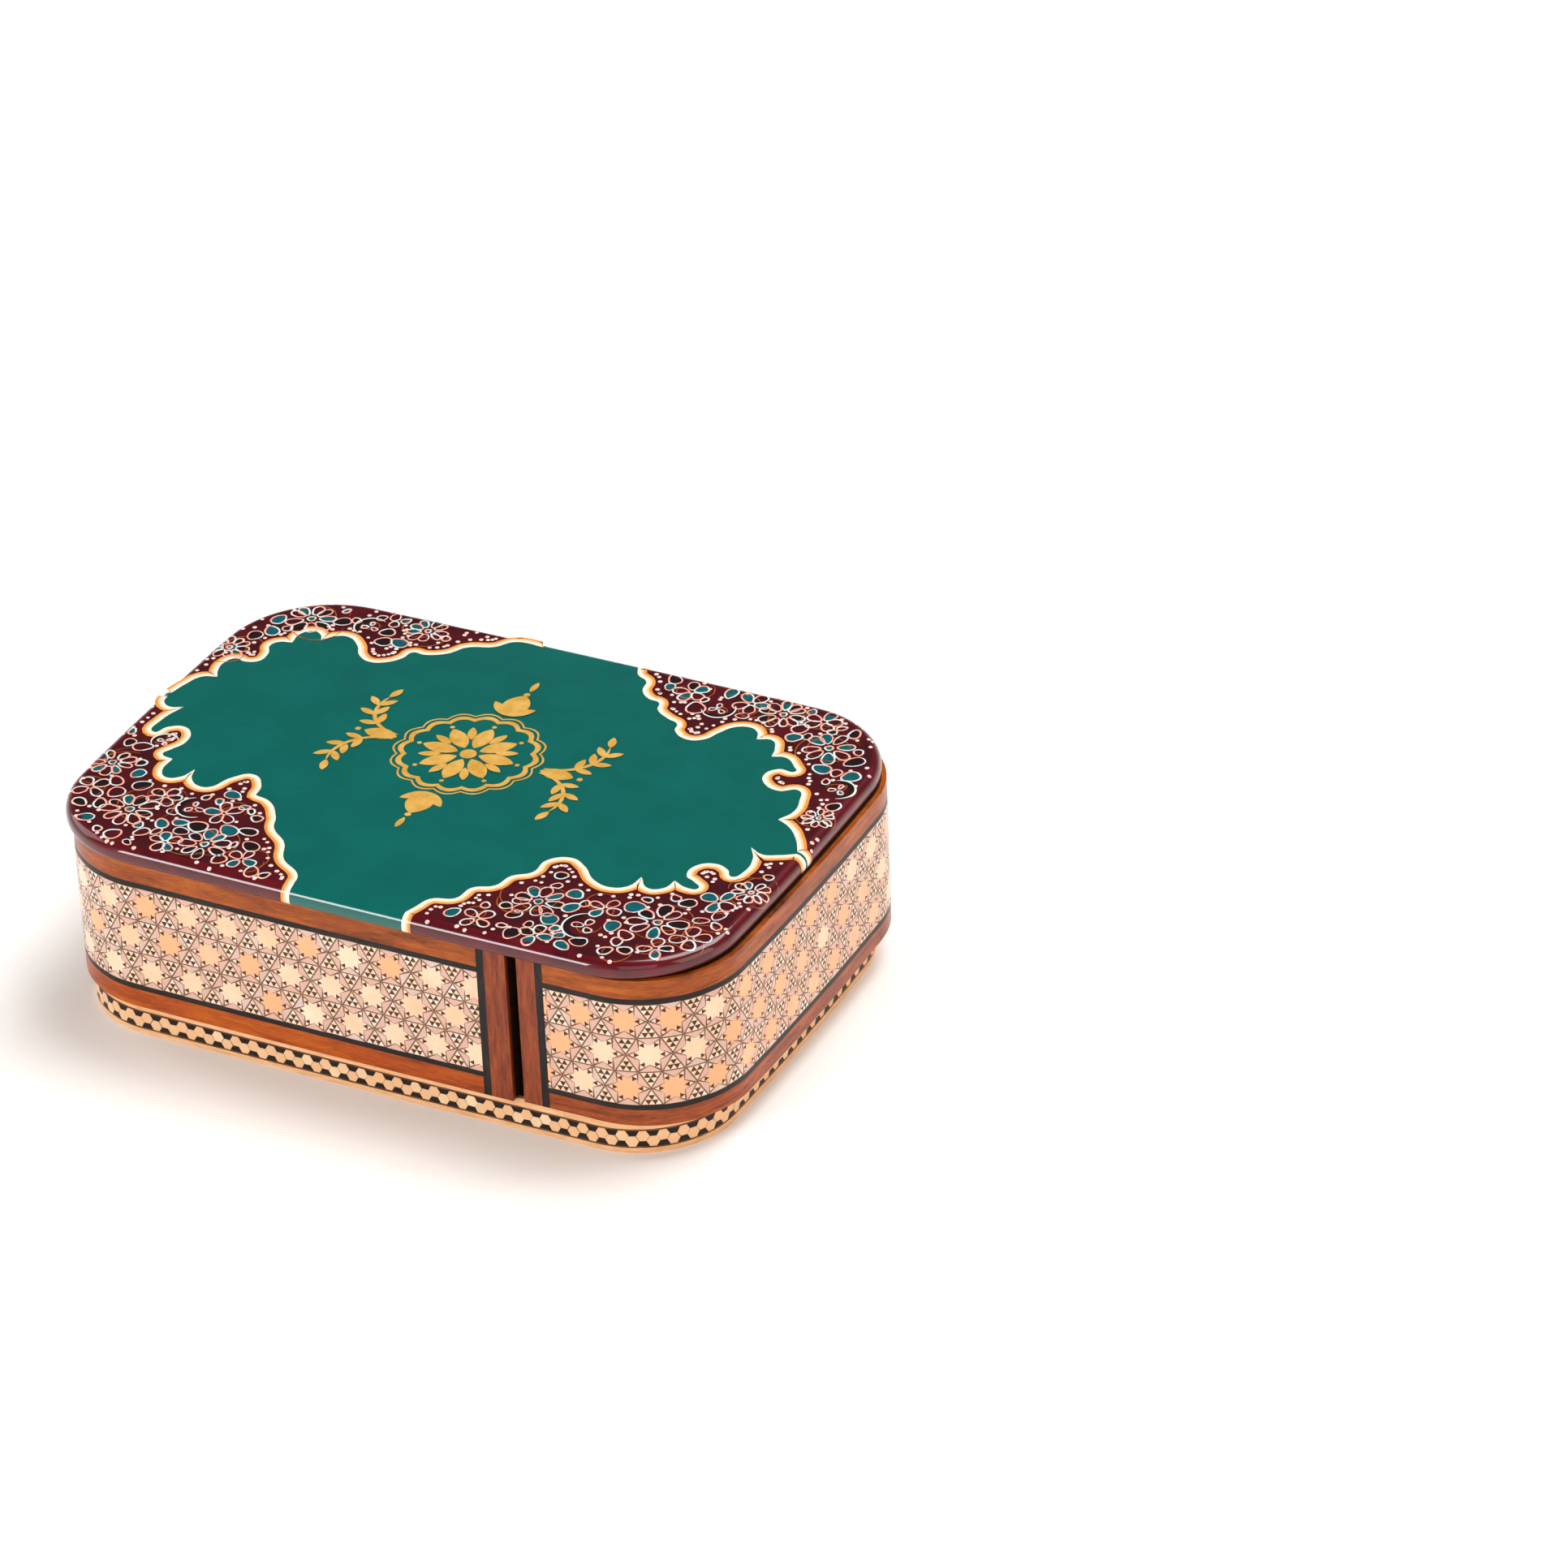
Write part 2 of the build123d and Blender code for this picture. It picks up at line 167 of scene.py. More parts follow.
def node(tree, kind, inputs=None, **settings):
    """Adds one node, sets its options, and gives each input a value or a link."""
    made = tree.nodes.new("ShaderNode" + kind)
    for key, value in settings.items():
        setattr(made, key, value)
    for key, value in (inputs or {}).items():
        if isinstance(value, bpy.types.NodeSocket):
            tree.links.new(value, made.inputs[key])
        else:
            made.inputs[key].default_value = value
    return made


def tones(tree, factor, first, last, *between):
    """The colour that a factor picks; each stop is a place from 0 to 1 and an sRGB hex colour."""
    ramp = node(tree, "ValToRGB", {"Fac": factor})
    stops = ramp.color_ramp.elements
    for stop, (place, code) in zip(stops, (first, last)):
        stop.position = place
        stop.color = srgb(code)
    for place, code in between:
        stops.new(place).color = srgb(code)
    return ramp.outputs["Color"]


def new_finish(name, **constants):
    """An empty material with its Principled shader, its constants already set."""
    material = bpy.data.materials.new(name)
    material.use_nodes = True
    tree = material.node_tree
    shader = tree.nodes["Principled BSDF"]
    for key, value in constants.items():
        shader.inputs[key.replace("_", " ")].default_value = value
    return material, tree, shader


# %% [markdown]
# Wood is long fibres. A noise stretched along the grain gives the streaks, a finer one gives
# the pores, and a colour ramp turns both into light and dark wood. The strips run round the
# box, so one grain that is long in X and Y and fine in Z suits the whole belt. The uprights
# need the opposite: fine in X and Y, long in Z.

# %% Woods
ALONG_BELT = (1.0, 1.0, 8.0)
UPRIGHT = (9.0, 9.0, 1.0)
LONG_GRAIN = (1.0, 14.0, 14.0)


def wood(name, dark, mid, light, grain, streak_mm=9.0, gloss=0.34, coat=0.2, relief=0.02):
    """Lacquered wood: three tones along stretched noise, pores as a faint relief."""
    material, tree, shader = new_finish(name, Roughness=gloss, Coat_Weight=coat,
                                        Coat_Roughness=0.08, Specular_IOR_Level=0.2)
    place = node(tree, "TexCoord").outputs["Object"]
    stretched = node(tree, "Mapping", {"Vector": place, "Scale": grain}).outputs["Vector"]
    scale = 1.0 / (streak_mm * MM)
    streaks = node(tree, "TexNoise", {"Vector": stretched, "Scale": scale, "Detail": 5.0,
                                      "Roughness": 0.62, "Distortion": 0.35})
    pores = node(tree, "TexNoise", {"Vector": stretched, "Scale": scale * 7, "Detail": 3.0,
                                    "Roughness": 0.7})
    both = node(tree, "Mix", {0: 0.34, 2: streaks.outputs["Fac"], 3: pores.outputs["Fac"]})
    colour = tones(tree, both.outputs[0], (0.35, dark), (0.65, light), (0.5, mid))
    bump = node(tree, "Bump", {"Height": pores.outputs["Fac"], "Strength": 0.5,
                               "Distance": relief * MM})
    tree.links.new(colour, shader.inputs["Base Color"])
    tree.links.new(bump.outputs["Normal"], shader.inputs["Normal"])
    return material


rail_wood = wood("redwood_strip_lacquered", "762C02", "A84602", "C26208", ALONG_BELT, streak_mm=12)
# The upper rails are the same redwood as the lower rail, made darker: painted shadow of the lid's
# overhang.
rail_wood_painted_lid_shadow = wood("redwood_strip_painted_lid_shadow", "5A2404", "964408", "B86014", ALONG_BELT, streak_mm=12)
cap_rail_wood = wood("redwood_strip_darker", "5A2408", "8E3E14", "B45A1E", ALONG_BELT)
stile_wood = wood("mahogany_upright_lacquered", "5C2210", "843818", "A04C22", UPRIGHT, streak_mm=6)
black_wood = wood("dyed_black_wood_line", "0C0908", "1A1412", "2E2420", ALONG_BELT, gloss=0.4, coat=0.1)
black_upright = wood("dyed_black_wood_upright", "0C0908", "1A1412", "2E2420", UPRIGHT, gloss=0.4, coat=0.1)
maple = wood("maple_strip_lacquered", "D9A06C", "EDB987", "F6CBA0", ALONG_BELT, streak_mm=5)
brown_line = wood("walnut_fine_line", "4A2A16", "6E4022", "8E5830", ALONG_BELT, streak_mm=5)
core_wood = wood("walnut_core_sawn", "1E120A", "2E1C10", "422A1A", LONG_GRAIN, gloss=0.5, coat=0.0)
# The tray's wood is made nearly black so that the narrow slot between the case and the cap reads dark:
# painted shade carried in the wood's colour.
tray_wood = wood("tray_planed_dark_for_slot_shade", "2A1810", "40261A", "5A3826", LONG_GRAIN, gloss=0.45, coat=0.1)
guide_wood = wood("waxed_hardwood_guide", "6E4A2A", "8C6238", "A67848", LONG_GRAIN, gloss=0.4, coat=0.0)
print("woods made:", len(bpy.data.materials))

# %% Give each wooden node its wood


def dress(material, *names):
    """Puts one material on these nodes of the frame."""
    for name in names:
        for slot in nodes[name].material_slots:
            slot.material = material


dress(rail_wood, "case_lower_rail")
# Both upper rails take the darker redwood: painted shadow under the lid.
dress(rail_wood_painted_lid_shadow, "case_upper_rail", "cap_upper_rail")
dress(cap_rail_wood, "cap_lower_rail")
dress(stile_wood, "case_front_stile", "case_back_stile", "cap_front_stile", "cap_back_stile")
dress(black_wood, "case_lower_black_line", "case_upper_black_line",
      "cap_lower_black_line", "cap_upper_black_line", "plinth_hexagon_band")
dress(black_upright, "case_front_upright_line", "case_back_upright_line",
      "cap_front_upright_line", "cap_back_upright_line")
dress(maple, "plinth_top_strip", "plinth_base_strip")
dress(brown_line, "plinth_upper_line", "plinth_lower_line")
dress(core_wood, "plinth_core", "case_wall", "cap_wall")
dress(tray_wood, "tray_floor", "tray_wall")
dress(guide_wood, "front_runner", "back_runner", "front_kicker", "back_kicker")

# %% [markdown]
# ## Pieces that ride on the box
# A new piece is a mesh made in place, named, given its finishes, and told which body carries
# it: the case, or the drawer with its end cap.

# %% Turn a bmesh into a piece of the box


def make_piece(name, mesh_data, finishes, body, smooth=False):
    """Writes a bmesh to an object that rides on a body of the frame."""
    mesh = bpy.data.meshes.new(name)
    mesh_data.to_mesh(mesh)
    mesh_data.free()
    for material in finishes:
        mesh.materials.append(material)
    if smooth:
        mesh.shade_smooth()
    piece = bpy.data.objects.new(name, mesh)
    bpy.context.scene.collection.objects.link(piece)
    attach(piece, body)
    print(f"{name}: {len(mesh.polygons)} faces")
    return piece


# %% [markdown]
# ## The mosaic belt
# The mosaic is cut from glued bundles of rods, so it repeats on a lattice of equilateral
# triangles. Round each lattice point sits a six-pointed star whose points stop a little short
# of those of its six neighbours. Each point ends in a pale tip and holds one dark triangle, so
# the cream middle is left with twelve points. A flat bone triangle fills each notch. Between
# three stars lies a triangle of nine: six pale, three dark. Each tile is made as a flat
# polygon with create_circle, given a little thickness, and then bent round the belt.

# %% Sizes of the mosaic
STAR_PITCH = 7.45 * MM        # between stars along the belt
ROW_PITCH = 6.25 * MM         # between rows; the lattice is pressed a little flat
GLUE_GAP = 0.045 * MM         # dark line left round every tile
WIRE_GAP = 0.16 * MM          # wider line round each triangle of nine
STAR_SHARE = 0.86             # the stars stop a little short of touching
HAND_SLIP = 0.07 * MM         # how far a star may sit off its lattice point
TILE_PROUD = 0.04 * MM        # how far the tiles stand out of the skin behind them
FIRST_STAR = {"case": 2.25 * MM, "drawer": 40.25 * MM}
STAR_TONES = {"case": (0.05, 0.15, 0.25, 0.5), "drawer": (0.1, 0.4, 0.7, 0.9)}  # pale to orange
TILE_CUT = 1.0 * MM           # tiles on the round corners are cut this short, to bend
CREAM, IVORY, DARK, BONE = range(4)
SIXTH = math.pi / 3

star_reach = STAR_PITCH / 2
small_side = star_reach / math.sqrt(3) / 2

# %% One cell of the mosaic: a star, its bone triangles and two triangles of nine


def flat_tile(bm, at, angle, radius, sides, kind, tone, squash=1.0):
    """A filled polygon of this radius, one corner along angle, pressed across it by squash."""
    place = (Matrix.Translation(at.to_3d()) @ Matrix.Rotation(angle, 4, "Z")
             @ Matrix.Diagonal((squash, 1, 1, 1)))
    made = bmesh.ops.create_circle(bm, cap_ends=True, segments=sides, radius=radius,
                                   matrix=place @ Matrix.Rotation(-math.pi / 2, 4, "Z"))
    face = made["verts"][0].link_faces[0]
    face.material_index = kind
    face[bm.faces.layers.float["tone"]] = tone


def small_triangle(bm, at, angle, side, gap, kind, tone):
    """An equilateral tile with a gap of its own all round it."""
    flat_tile(bm, at, angle, side / math.sqrt(3) - 2 * gap, 3, kind, tone)


def star_cell(bm, at, star_tones, dice):
    """Everything that belongs to the star at this lattice point."""
    star_tone = dice.choice(star_tones) + dice.uniform(-0.08, 0.08)
    hexagon = star_reach * STAR_SHARE / math.sqrt(3)
    small = small_side * STAR_SHARE
    tall = small * math.sqrt(3) / 2
    base = hexagon * math.sqrt(3) / 2
    notch = star_reach * math.sqrt(3) / 2
    bone_height = notch - hexagon
    star = at + Vector([dice.uniform(-HAND_SLIP, HAND_SLIP) for _ in range(2)])
    flat_tile(bm, star, SIXTH / 2, hexagon, 6, CREAM, star_tone)
    for k in range(6):
        point = k * SIXTH
        small_triangle(bm, star + polar(point, base + tall * 2 / 3), point + math.pi, small,
                       0, DARK, dice.random())
        small_triangle(bm, star + polar(point, base + tall * 4 / 3), point, small,
                       GLUE_GAP, IVORY, dice.random())
        for side in (-1, 1):
            shoulder = polar(point, base + tall / 3) + polar(point + math.pi / 2, side * small / 2)
            small_triangle(bm, star + shoulder, point, small, 0, CREAM, star_tone)
        bone = polar(point + SIXTH / 2, notch - bone_height / 3 - 0.3 * GLUE_GAP)
        flat_tile(bm, at + bone, point + SIXTH / 2 + math.pi,
                  star_reach / math.sqrt(3) - 3.4 * GLUE_GAP, 3, BONE, dice.random(),
                  (bone_height - 1.6 * GLUE_GAP) / notch)


def triangle_of_nine(bm, at, up, dice):
    """Six pale and three dark triangles about a centre, pointing up or down."""
    side = (star_reach - 2 * math.sqrt(3) * WIRE_GAP) / 3
    tall = side * math.sqrt(3) / 2
    way = 1 if up else -1
    for kind, first_row, top, turn, gap in ((IVORY, 0, 4 / 3, way, 0.5), (DARK, 1, 5 / 3, -way, 0.2)):
        for row in range(first_row, 3):
            count = row + 1 - first_row
            for k in range(count):
                place = Vector(((k - (count - 1) / 2) * side, (top - row) * tall * way))
                small_triangle(bm, at + place, math.pi / 2 * turn, side, GLUE_GAP * gap, kind,
                               dice.random())


# %% Lay the cells, trim them to the belt, thicken and bend them


def bend_round(bm, inset, shift):
    """Takes x as the way along the outline, y as height and z as the way out."""
    for vert in bm.verts:
        point, out = walk(inset, vert.co.x)
        point = point + out * vert.co.z
        vert.co = Vector((point.x + shift, point.y, vert.co.y))


def trim(bm, low, high, axis):
    """Cuts away what lies beyond two limits along an axis."""
    for limit, sign in ((low, -1), (high, 1)):
        normal = Vector((0, 0, 0))
        normal[axis] = sign
        place = Vector((0, 0, 0))
        place[axis] = limit
        bmesh.ops.bisect_plane(bm, geom=bm.verts[:] + bm.edges[:] + bm.faces[:], dist=1e-9,
                               plane_co=place, plane_no=normal, clear_outer=True)


def corner_spans(inset):
    """Where the four round corners begin and end along the outline."""
    spans = []
    gone = 0.0
    for number, (_, _, radius, _, turn) in enumerate(outline_arcs(inset)):
        if number % 2 == 1:
            spans.append((gone, gone + radius * turn))
        gone += radius * turn
    return spans


def cut_for_bending(bm, inset):
    """Cuts faces across on the round corners, so that they follow the curve."""
    for start, stop in corner_spans(inset):
        for step in range(int((stop - start) / TILE_CUT) + 1):
            at = start + step * TILE_CUT
            near = [f for f in bm.faces
                    if min(v.co.x for v in f.verts) < at < max(v.co.x for v in f.verts)]
            geometry = list({v for f in near for v in f.verts})
            geometry += list({e for f in near for e in f.edges}) + near
            bmesh.ops.bisect_plane(bm, geom=geometry, dist=1e-9, plane_co=(at, 0, 0),
                                   plane_no=(1, 0, 0))


def thicken(bm, height):
    """Raises every face by height and gives it side walls down to where it was."""
    raised = bmesh.ops.extrude_discrete_faces(bm, faces=bm.faces[:])["faces"]
    verts = list({v for face in raised for v in face.verts})
    bmesh.ops.translate(bm, verts=verts, vec=(0, 0, height))


BELT_INSET = HALF_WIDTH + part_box("case_khatam_panel")[0].y
DRAWER_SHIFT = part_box("cap_khatam_panel")[1].x - (HALF_LENGTH - BELT_INSET)


def mosaic(name, node_name, finishes, body, seed):
    """The mosaic over one skin of the frame, round the end that it covers."""
    dice = random.Random(seed)
    low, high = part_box(node_name)
    total = outline_length(BELT_INSET)
    if body == "drawer":
        shift = DRAWER_SHIFT
        start = low.x - shift
        stop = total / 2 - start
    else:
        shift = 0.0
        start = total / 2 - high.x
        stop = total + high.x
    bm = bmesh.new()
    bm.faces.layers.float.new("tone")
    first = FIRST_STAR[body] - shift
    columns = range(int((start - first - STAR_PITCH) / STAR_PITCH),
                    int((stop - first + STAR_PITCH) / STAR_PITCH) + 2)
    row_height = STAR_PITCH * math.sqrt(3) / 2
    for row in (-1, 0, 1):
        for column in columns:
            x = first + (column + 0.5 * (row == 0)) * STAR_PITCH
            if start - STAR_PITCH < x < stop + STAR_PITCH:
                at = Vector((x, row * row_height))
                star_cell(bm, at, STAR_TONES[body], dice)
                for up, lift in ((True, -row_height / 3), (False, row_height / 3)):
                    triangle_of_nine(bm, at + Vector((star_reach, lift)), up, dice)
    bmesh.ops.scale(bm, verts=bm.verts[:], vec=(1, ROW_PITCH / row_height, 1))
    bmesh.ops.translate(bm, verts=bm.verts[:], vec=(0, (low.z + high.z) / 2, 0))
    trim(bm, start, stop, 0)
    trim(bm, low.z, high.z, 1)
    cut_for_bending(bm, BELT_INSET)
    thicken(bm, TILE_PROUD)
    bend_round(bm, BELT_INSET, shift)
    make_piece(name, bm, finishes, body)


# %% Finishes of the tiles


def tile_finish(name, light, deep, fibre_mm, spread, gloss=0.3, coat=0.3):
    """A small polished tile: its own tone, and fibres seen on end as fine speckle."""
    material, tree, shader = new_finish(name, Roughness=gloss, Coat_Weight=coat,
                                        Coat_Roughness=0.06, Specular_IOR_Level=0.3)
    tone = node(tree, "Attribute", attribute_name="tone").outputs["Fac"]
    place = node(tree, "TexCoord").outputs["Object"]
    speckle = node(tree, "TexNoise", {"Vector": place, "Scale": 1 / (fibre_mm * MM),
                                      "Detail": 4.0, "Roughness": 0.65})
    soil = node(tree, "TexNoise", {"Vector": place, "Scale": 1 / (5.0 * MM), "Detail": 2.0})
    share = node(tree, "Math", {0: speckle.outputs["Fac"], 1: spread}, operation="MULTIPLY")
    moved = node(tree, "Math", {0: tone, 1: share.outputs[0]}, operation="ADD")
    dirty = node(tree, "Math", {0: soil.outputs["Fac"], 1: 0.5, 2: moved.outputs[0]},
                 operation="MULTIPLY_ADD")
    colour = tones(tree, dirty.outputs[0], (0.2, light), (1.6 / 1.7, deep))
    tree.links.new(colour, shader.inputs["Base Color"])
    return material


cream_tile = tile_finish("orangewood_star_polished", "FBE6CC", "F2B080", 0.5, 0.4)
ivory_tile = tile_finish("bone_white_triangle", "FDF0E0", "F0CDA8", 0.6, 0.4)
dark_tile = tile_finish("rosewood_dark_triangle", "220C06", "4A1C10", 0.6, 0.4)
bone_tile = tile_finish("camel_bone_polished", "DCCDC8", "D8AC9A", 1.2, 0.8, gloss=0.16)
tiles = (cream_tile, ivory_tile, dark_tile, bone_tile)
glue_brown = wood("glue_and_rosewood_dust", "56382A", "785442", "927060", ALONG_BELT, streak_mm=2)
dress(glue_brown, "case_khatam_panel", "cap_khatam_panel")

mosaic("case_mosaic", "case_khatam_panel", tiles, "case", 11)
mosaic("cap_mosaic", "cap_khatam_panel", tiles, "drawer", 12)

# %% [markdown]
# ## The hexagon band
# Round the plinth runs a dyed black strip inlaid with a chain of pale hexagons. Each one
# shares a slanted side with the next, so the chain steps up and down by half a hexagon.

# %% Hexagons round the plinth
band_low, band_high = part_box("plinth_hexagon_band")
PLINTH_INSET = HALF_WIDTH + band_low.y
HEXAGON_PROUD = 0.03 * MM
plinth_round = outline_length(PLINTH_INSET)
band_height = band_high.z - band_low.z
hexagon_side = band_height / 1.5 / math.sqrt(3) * 0.985
hexagon_count = 2 * round(plinth_round / (3.0 * hexagon_side))
hexagon_step = plinth_round / hexagon_count
dice = random.Random(5)
bm = bmesh.new()
bm.faces.layers.float.new("tone")
for number in range(hexagon_count):
    lift = (1 if number % 2 else -1) * hexagon_side * math.sqrt(3) / 4
    middle = (band_low.z + band_high.z) / 2 + dice.uniform(-0.05, 0.05) * MM
    across = (number + 0.5) * hexagon_step + dice.uniform(-0.05, 0.05) * MM
    flat_tile(bm, Vector((across, middle + lift)), dice.uniform(-0.05, 0.05),
              hexagon_side * dice.uniform(0.95, 1.0), 6, 0, dice.random())
cut_for_bending(bm, PLINTH_INSET)
thicken(bm, HEXAGON_PROUD)
bend_round(bm, PLINTH_INSET, 0.0)
hexagon_tile = tile_finish("orangewood_hexagon", "FCE2BC", "F0BE8E", 0.5, 0.5)
make_piece("plinth_hexagons", bm, (hexagon_tile,), "case")
print(f"{hexagon_count} hexagons of {hexagon_side / MM:.2f} mm a side")

# %% [markdown]
# ## The lid
# The lid is a board with a rounded edge, painted and then lacquered. The frame's lid keeps the
# size; a smooth new skin is swept round the outline through the same edge profile, so that the
# lacquer's long reflections run clean. Paint is laid on it in thin layers, each with its own
# height: first the ground colours, then border lines, then flowers and dots.

# %% The rounded edge as a line that paint can be wrapped over
TOP_ROUND = 1.6 * MM
BOTTOM_ROUND = 0.9 * MM
LID_THICKNESS = LID_TOP - LID_BOTTOM
EDGE_ARC = TOP_ROUND * math.pi / 2
EDGE_FLAT = LID_THICKNESS - TOP_ROUND - BOTTOM_ROUND
EDGE_UNDER = BOTTOM_ROUND * math.pi / 2


def edge_profile(along):
    """How far out and how far down the surface is, and its slope, this far over the edge."""
    if along <= EDGE_ARC:
        slope = along / TOP_ROUND
        return TOP_ROUND * math.sin(slope), TOP_ROUND * (1 - math.cos(slope)), slope
    if along <= EDGE_ARC + EDGE_FLAT:
        return TOP_ROUND, TOP_ROUND + along - EDGE_ARC, math.pi / 2
    slope = min((along - EDGE_ARC - EDGE_FLAT) / BOTTOM_ROUND, math.pi / 2)
    out = TOP_ROUND - BOTTOM_ROUND * (1 - math.cos(slope))
    down = TOP_ROUND + EDGE_FLAT + BOTTOM_ROUND * math.sin(slope)
    return out, down, math.pi / 2 + slope


def on_lid(x, y, height):
    """A point of the flat painting laid on the lid, wrapped over its edge."""
    inside, out = from_edge(x, y)
    over = TOP_ROUND - inside
    if over <= 0:
        return Vector((x, y, LID_TOP + height))
    reach, drop, slope = edge_profile(over)
    foot = Vector((x, y)) - out * over
    flat = foot + out * (reach + height * math.sin(slope))
    return Vector((flat.x, flat.y, LID_TOP - drop + height * math.cos(slope)))


def lay_on_lid(bm):
    """Wraps a flat mesh over the lid; its z is its height above the surface."""
    for vert in bm.verts:
        vert.co = on_lid(vert.co.x, vert.co.y, vert.co.z)


# %% The lid's skin, swept round the outline
AROUND = 288

bm = bmesh.new()
length = outline_length(TOP_ROUND)
profile_steps = [k / 10 * EDGE_ARC for k in range(11)]
profile_steps += [EDGE_ARC + EDGE_FLAT * 0.5]
profile_steps += [EDGE_ARC + EDGE_FLAT + k / 6 * EDGE_UNDER for k in range(7)]
rings = []
for over in profile_steps:
    reach, drop, _ = edge_profile(over)
    ring = []
    for k in range(AROUND):
        foot, out = walk(TOP_ROUND, k / AROUND * length)
        place = foot + out * reach
        ring.append(bm.verts.new((place.x, place.y, LID_TOP - drop)))
    for a, b in zip(ring, ring[1:] + ring[:1]):
        bm.edges.new((a, b))
    rings.append(ring)
for upper, lower in zip(rings, rings[1:]):
    loops = [bm.edges.get((a, b)) for ring in (upper, lower)
             for a, b in zip(ring, ring[1:] + ring[:1])]
    bmesh.ops.bridge_loops(bm, edges=loops)
bm.faces.new(rings[0])
bm.faces.new(list(reversed(rings[-1])))
bmesh.ops.recalc_face_normals(bm, faces=bm.faces[:])

# %% [markdown]
# Enamel ground under clear lacquer: a deep even colour with a faint cloudiness from the
# brush, a sharp coat on top, and the slight waviness that hand rubbing leaves in it.

# %% Paint finishes


def paint(name, colour, cloud, roughness=0.35, coat=0.9, cloud_mm=14.0, wave=0.012):
    """Opaque paint under gloss lacquer, clouded towards a second colour."""
    material, tree, shader = new_finish(name, Roughness=roughness, Coat_Weight=coat,
                                        Coat_Roughness=0.05, Coat_IOR=1.5,
                                        Specular_IOR_Level=0.15)
    place = node(tree, "TexCoord").outputs["Object"]
    clouds = node(tree, "TexNoise", {"Vector": place, "Scale": 1 / (cloud_mm * MM), "Detail": 4.0,
                                     "Roughness": 0.6})
    tint = tones(tree, clouds.outputs["Fac"], (0.35, colour), (0.7, cloud))
    ripples = node(tree, "TexNoise", {"Vector": place, "Scale": 1 / (3.0 * MM), "Detail": 2.0})
    bump = node(tree, "Bump", {"Height": ripples.outputs["Fac"], "Strength": 1.0,
                               "Distance": wave * MM})
    tree.links.new(tint, shader.inputs["Base Color"])
    tree.links.new(bump.outputs["Normal"], shader.inputs["Normal"])
    tree.links.new(bump.outputs["Normal"], shader.inputs["Coat Normal"])
    return material


green_ground = paint("green_enamel_lacquered", "005B54", "00625A", cloud_mm=9.0)
burgundy_ground = paint("burgundy_enamel_lacquered", "380810", "560C16", cloud_mm=6.0)
# A lighter, redder copy of the burgundy paint for the rounded edge: painted light where the edge catches
# the lamps.
burgundy_rim_painted_light = paint("burgundy_enamel_painted_rim_light", "4C0710", "660E1A", cloud_mm=5.0)
cream_line = paint("cream_gouache_line", "F6F0DE", "E6DECB", cloud_mm=1.5, wave=0.02)
peach_line = paint("peach_gouache_line", "F4C48C", "FAD9AE", cloud_mm=1.2, wave=0.02)
amber_line = paint("amber_gouache_line", "E48A38", "F0A04E", cloud_mm=1.2, wave=0.02)
pink_line = paint("salmon_brush_line", "EEA592", "F6BEAE", cloud_mm=1.0, wave=0.02)
pale_line = paint("grey_white_brush_line", "D2DCDC", "E8E8E4", cloud_mm=1.2, wave=0.02)
dot_white = paint("pink_white_dots", "F6D6CE", "F2C0B2", cloud_mm=2.0, wave=0.02)
teal_fill = paint("teal_petal_wash", "04626C", "08484F", cloud_mm=0.8, wave=0.02)
black_fill = paint("black_petal_wash", "140A0C", "241014", cloud_mm=0.8, wave=0.02)
rust_scroll = paint("rust_fine_scroll", "B5612A", "8E4420", cloud_mm=1.0, wave=0.02)

gold_paint = paint("gold_paint_lacquered", "C8963C", "E0B25E", roughness=0.42, cloud_mm=2.5,
                   wave=0.03)

lid_skin = make_piece("lid_skin", bm, (green_ground,), "case", smooth=True)
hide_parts("lid_panel")

# %% [markdown]
# ## The border of the painting
# Green runs right across the middle of the lid. The four corners are burgundy, and each is
# edged by a scalloped line: smooth lobes that meet in little spikes. A lobe needs only a few
# points, because a Bezier curve with automatic handles rounds it; a spike is a point whose
# handles aim straight at its neighbours. Each line is a list of smooth runs, in millimetres,
# and one run starts on the spike where the last one ended.

# %% The scalloped lines, each from a long side to a short end
BACK_LEFT = (
    ((-9.0, 40.5), (-14.0, 40.0), (-16.3, 37.3), (-20.5, 35.3), (-22.4, 32.4), (-25.8, 30.5),
     (-28.0, 30.4), (-28.6, 28.2), (-30.6, 25.8), (-33.2, 24.9), (-35.8, 26.2), (-37.6, 28.8),
     (-40.6, 30.7), (-42.8, 29.7), (-44.0, 27.9)),
    ((-44.0, 27.9), (-45.0, 29.5), (-46.6, 30.1), (-48.2, 28.5), (-48.1, 25.4)),
    ((-48.1, 25.4), (-50.2, 24.7), (-51.0, 23.2), (-50.0, 20.8), (-50.2, 18.0), (-52.3, 16.9),
     (-54.2, 17.2), (-55.3, 15.0), (-54.9, 12.6), (-54.0, 10.8)),
    ((-54.0, 10.8), (-56.4, 9.8), (-57.6, 6.8), (-58.4, 3.2)),
)
FRONT_LEFT = (
    ((-10.4, -40.4), (-11.2, -37.6), (-15.6, -34.3), (-18.0, -30.0), (-21.6, -26.9),
     (-23.2, -23.6), (-26.4, -20.0), (-29.4, -19.2)),
    ((-29.4, -19.2), (-30.0, -16.4), (-33.0, -13.8), (-35.8, -16.2), (-37.6, -20.0),
     (-39.2, -20.4), (-41.4, -19.0), (-42.5, -16.2)),
    ((-42.5, -16.2), (-43.6, -19.2), (-45.6, -20.1), (-47.2, -18.6), (-47.5, -14.8)),
    ((-47.5, -14.8), (-49.8, -14.0), (-49.2, -12.2), (-48.2, -9.6), (-49.0, -6.4),
     (-51.0, -5.2), (-53.4, -6.4), (-54.7, -8.6), (-55.4, -4.6), (-54.2, 0.2)),
    ((-54.2, 0.2), (-56.4, -0.6), (-58.0, 0.4), (-58.4, 2.2)),
)
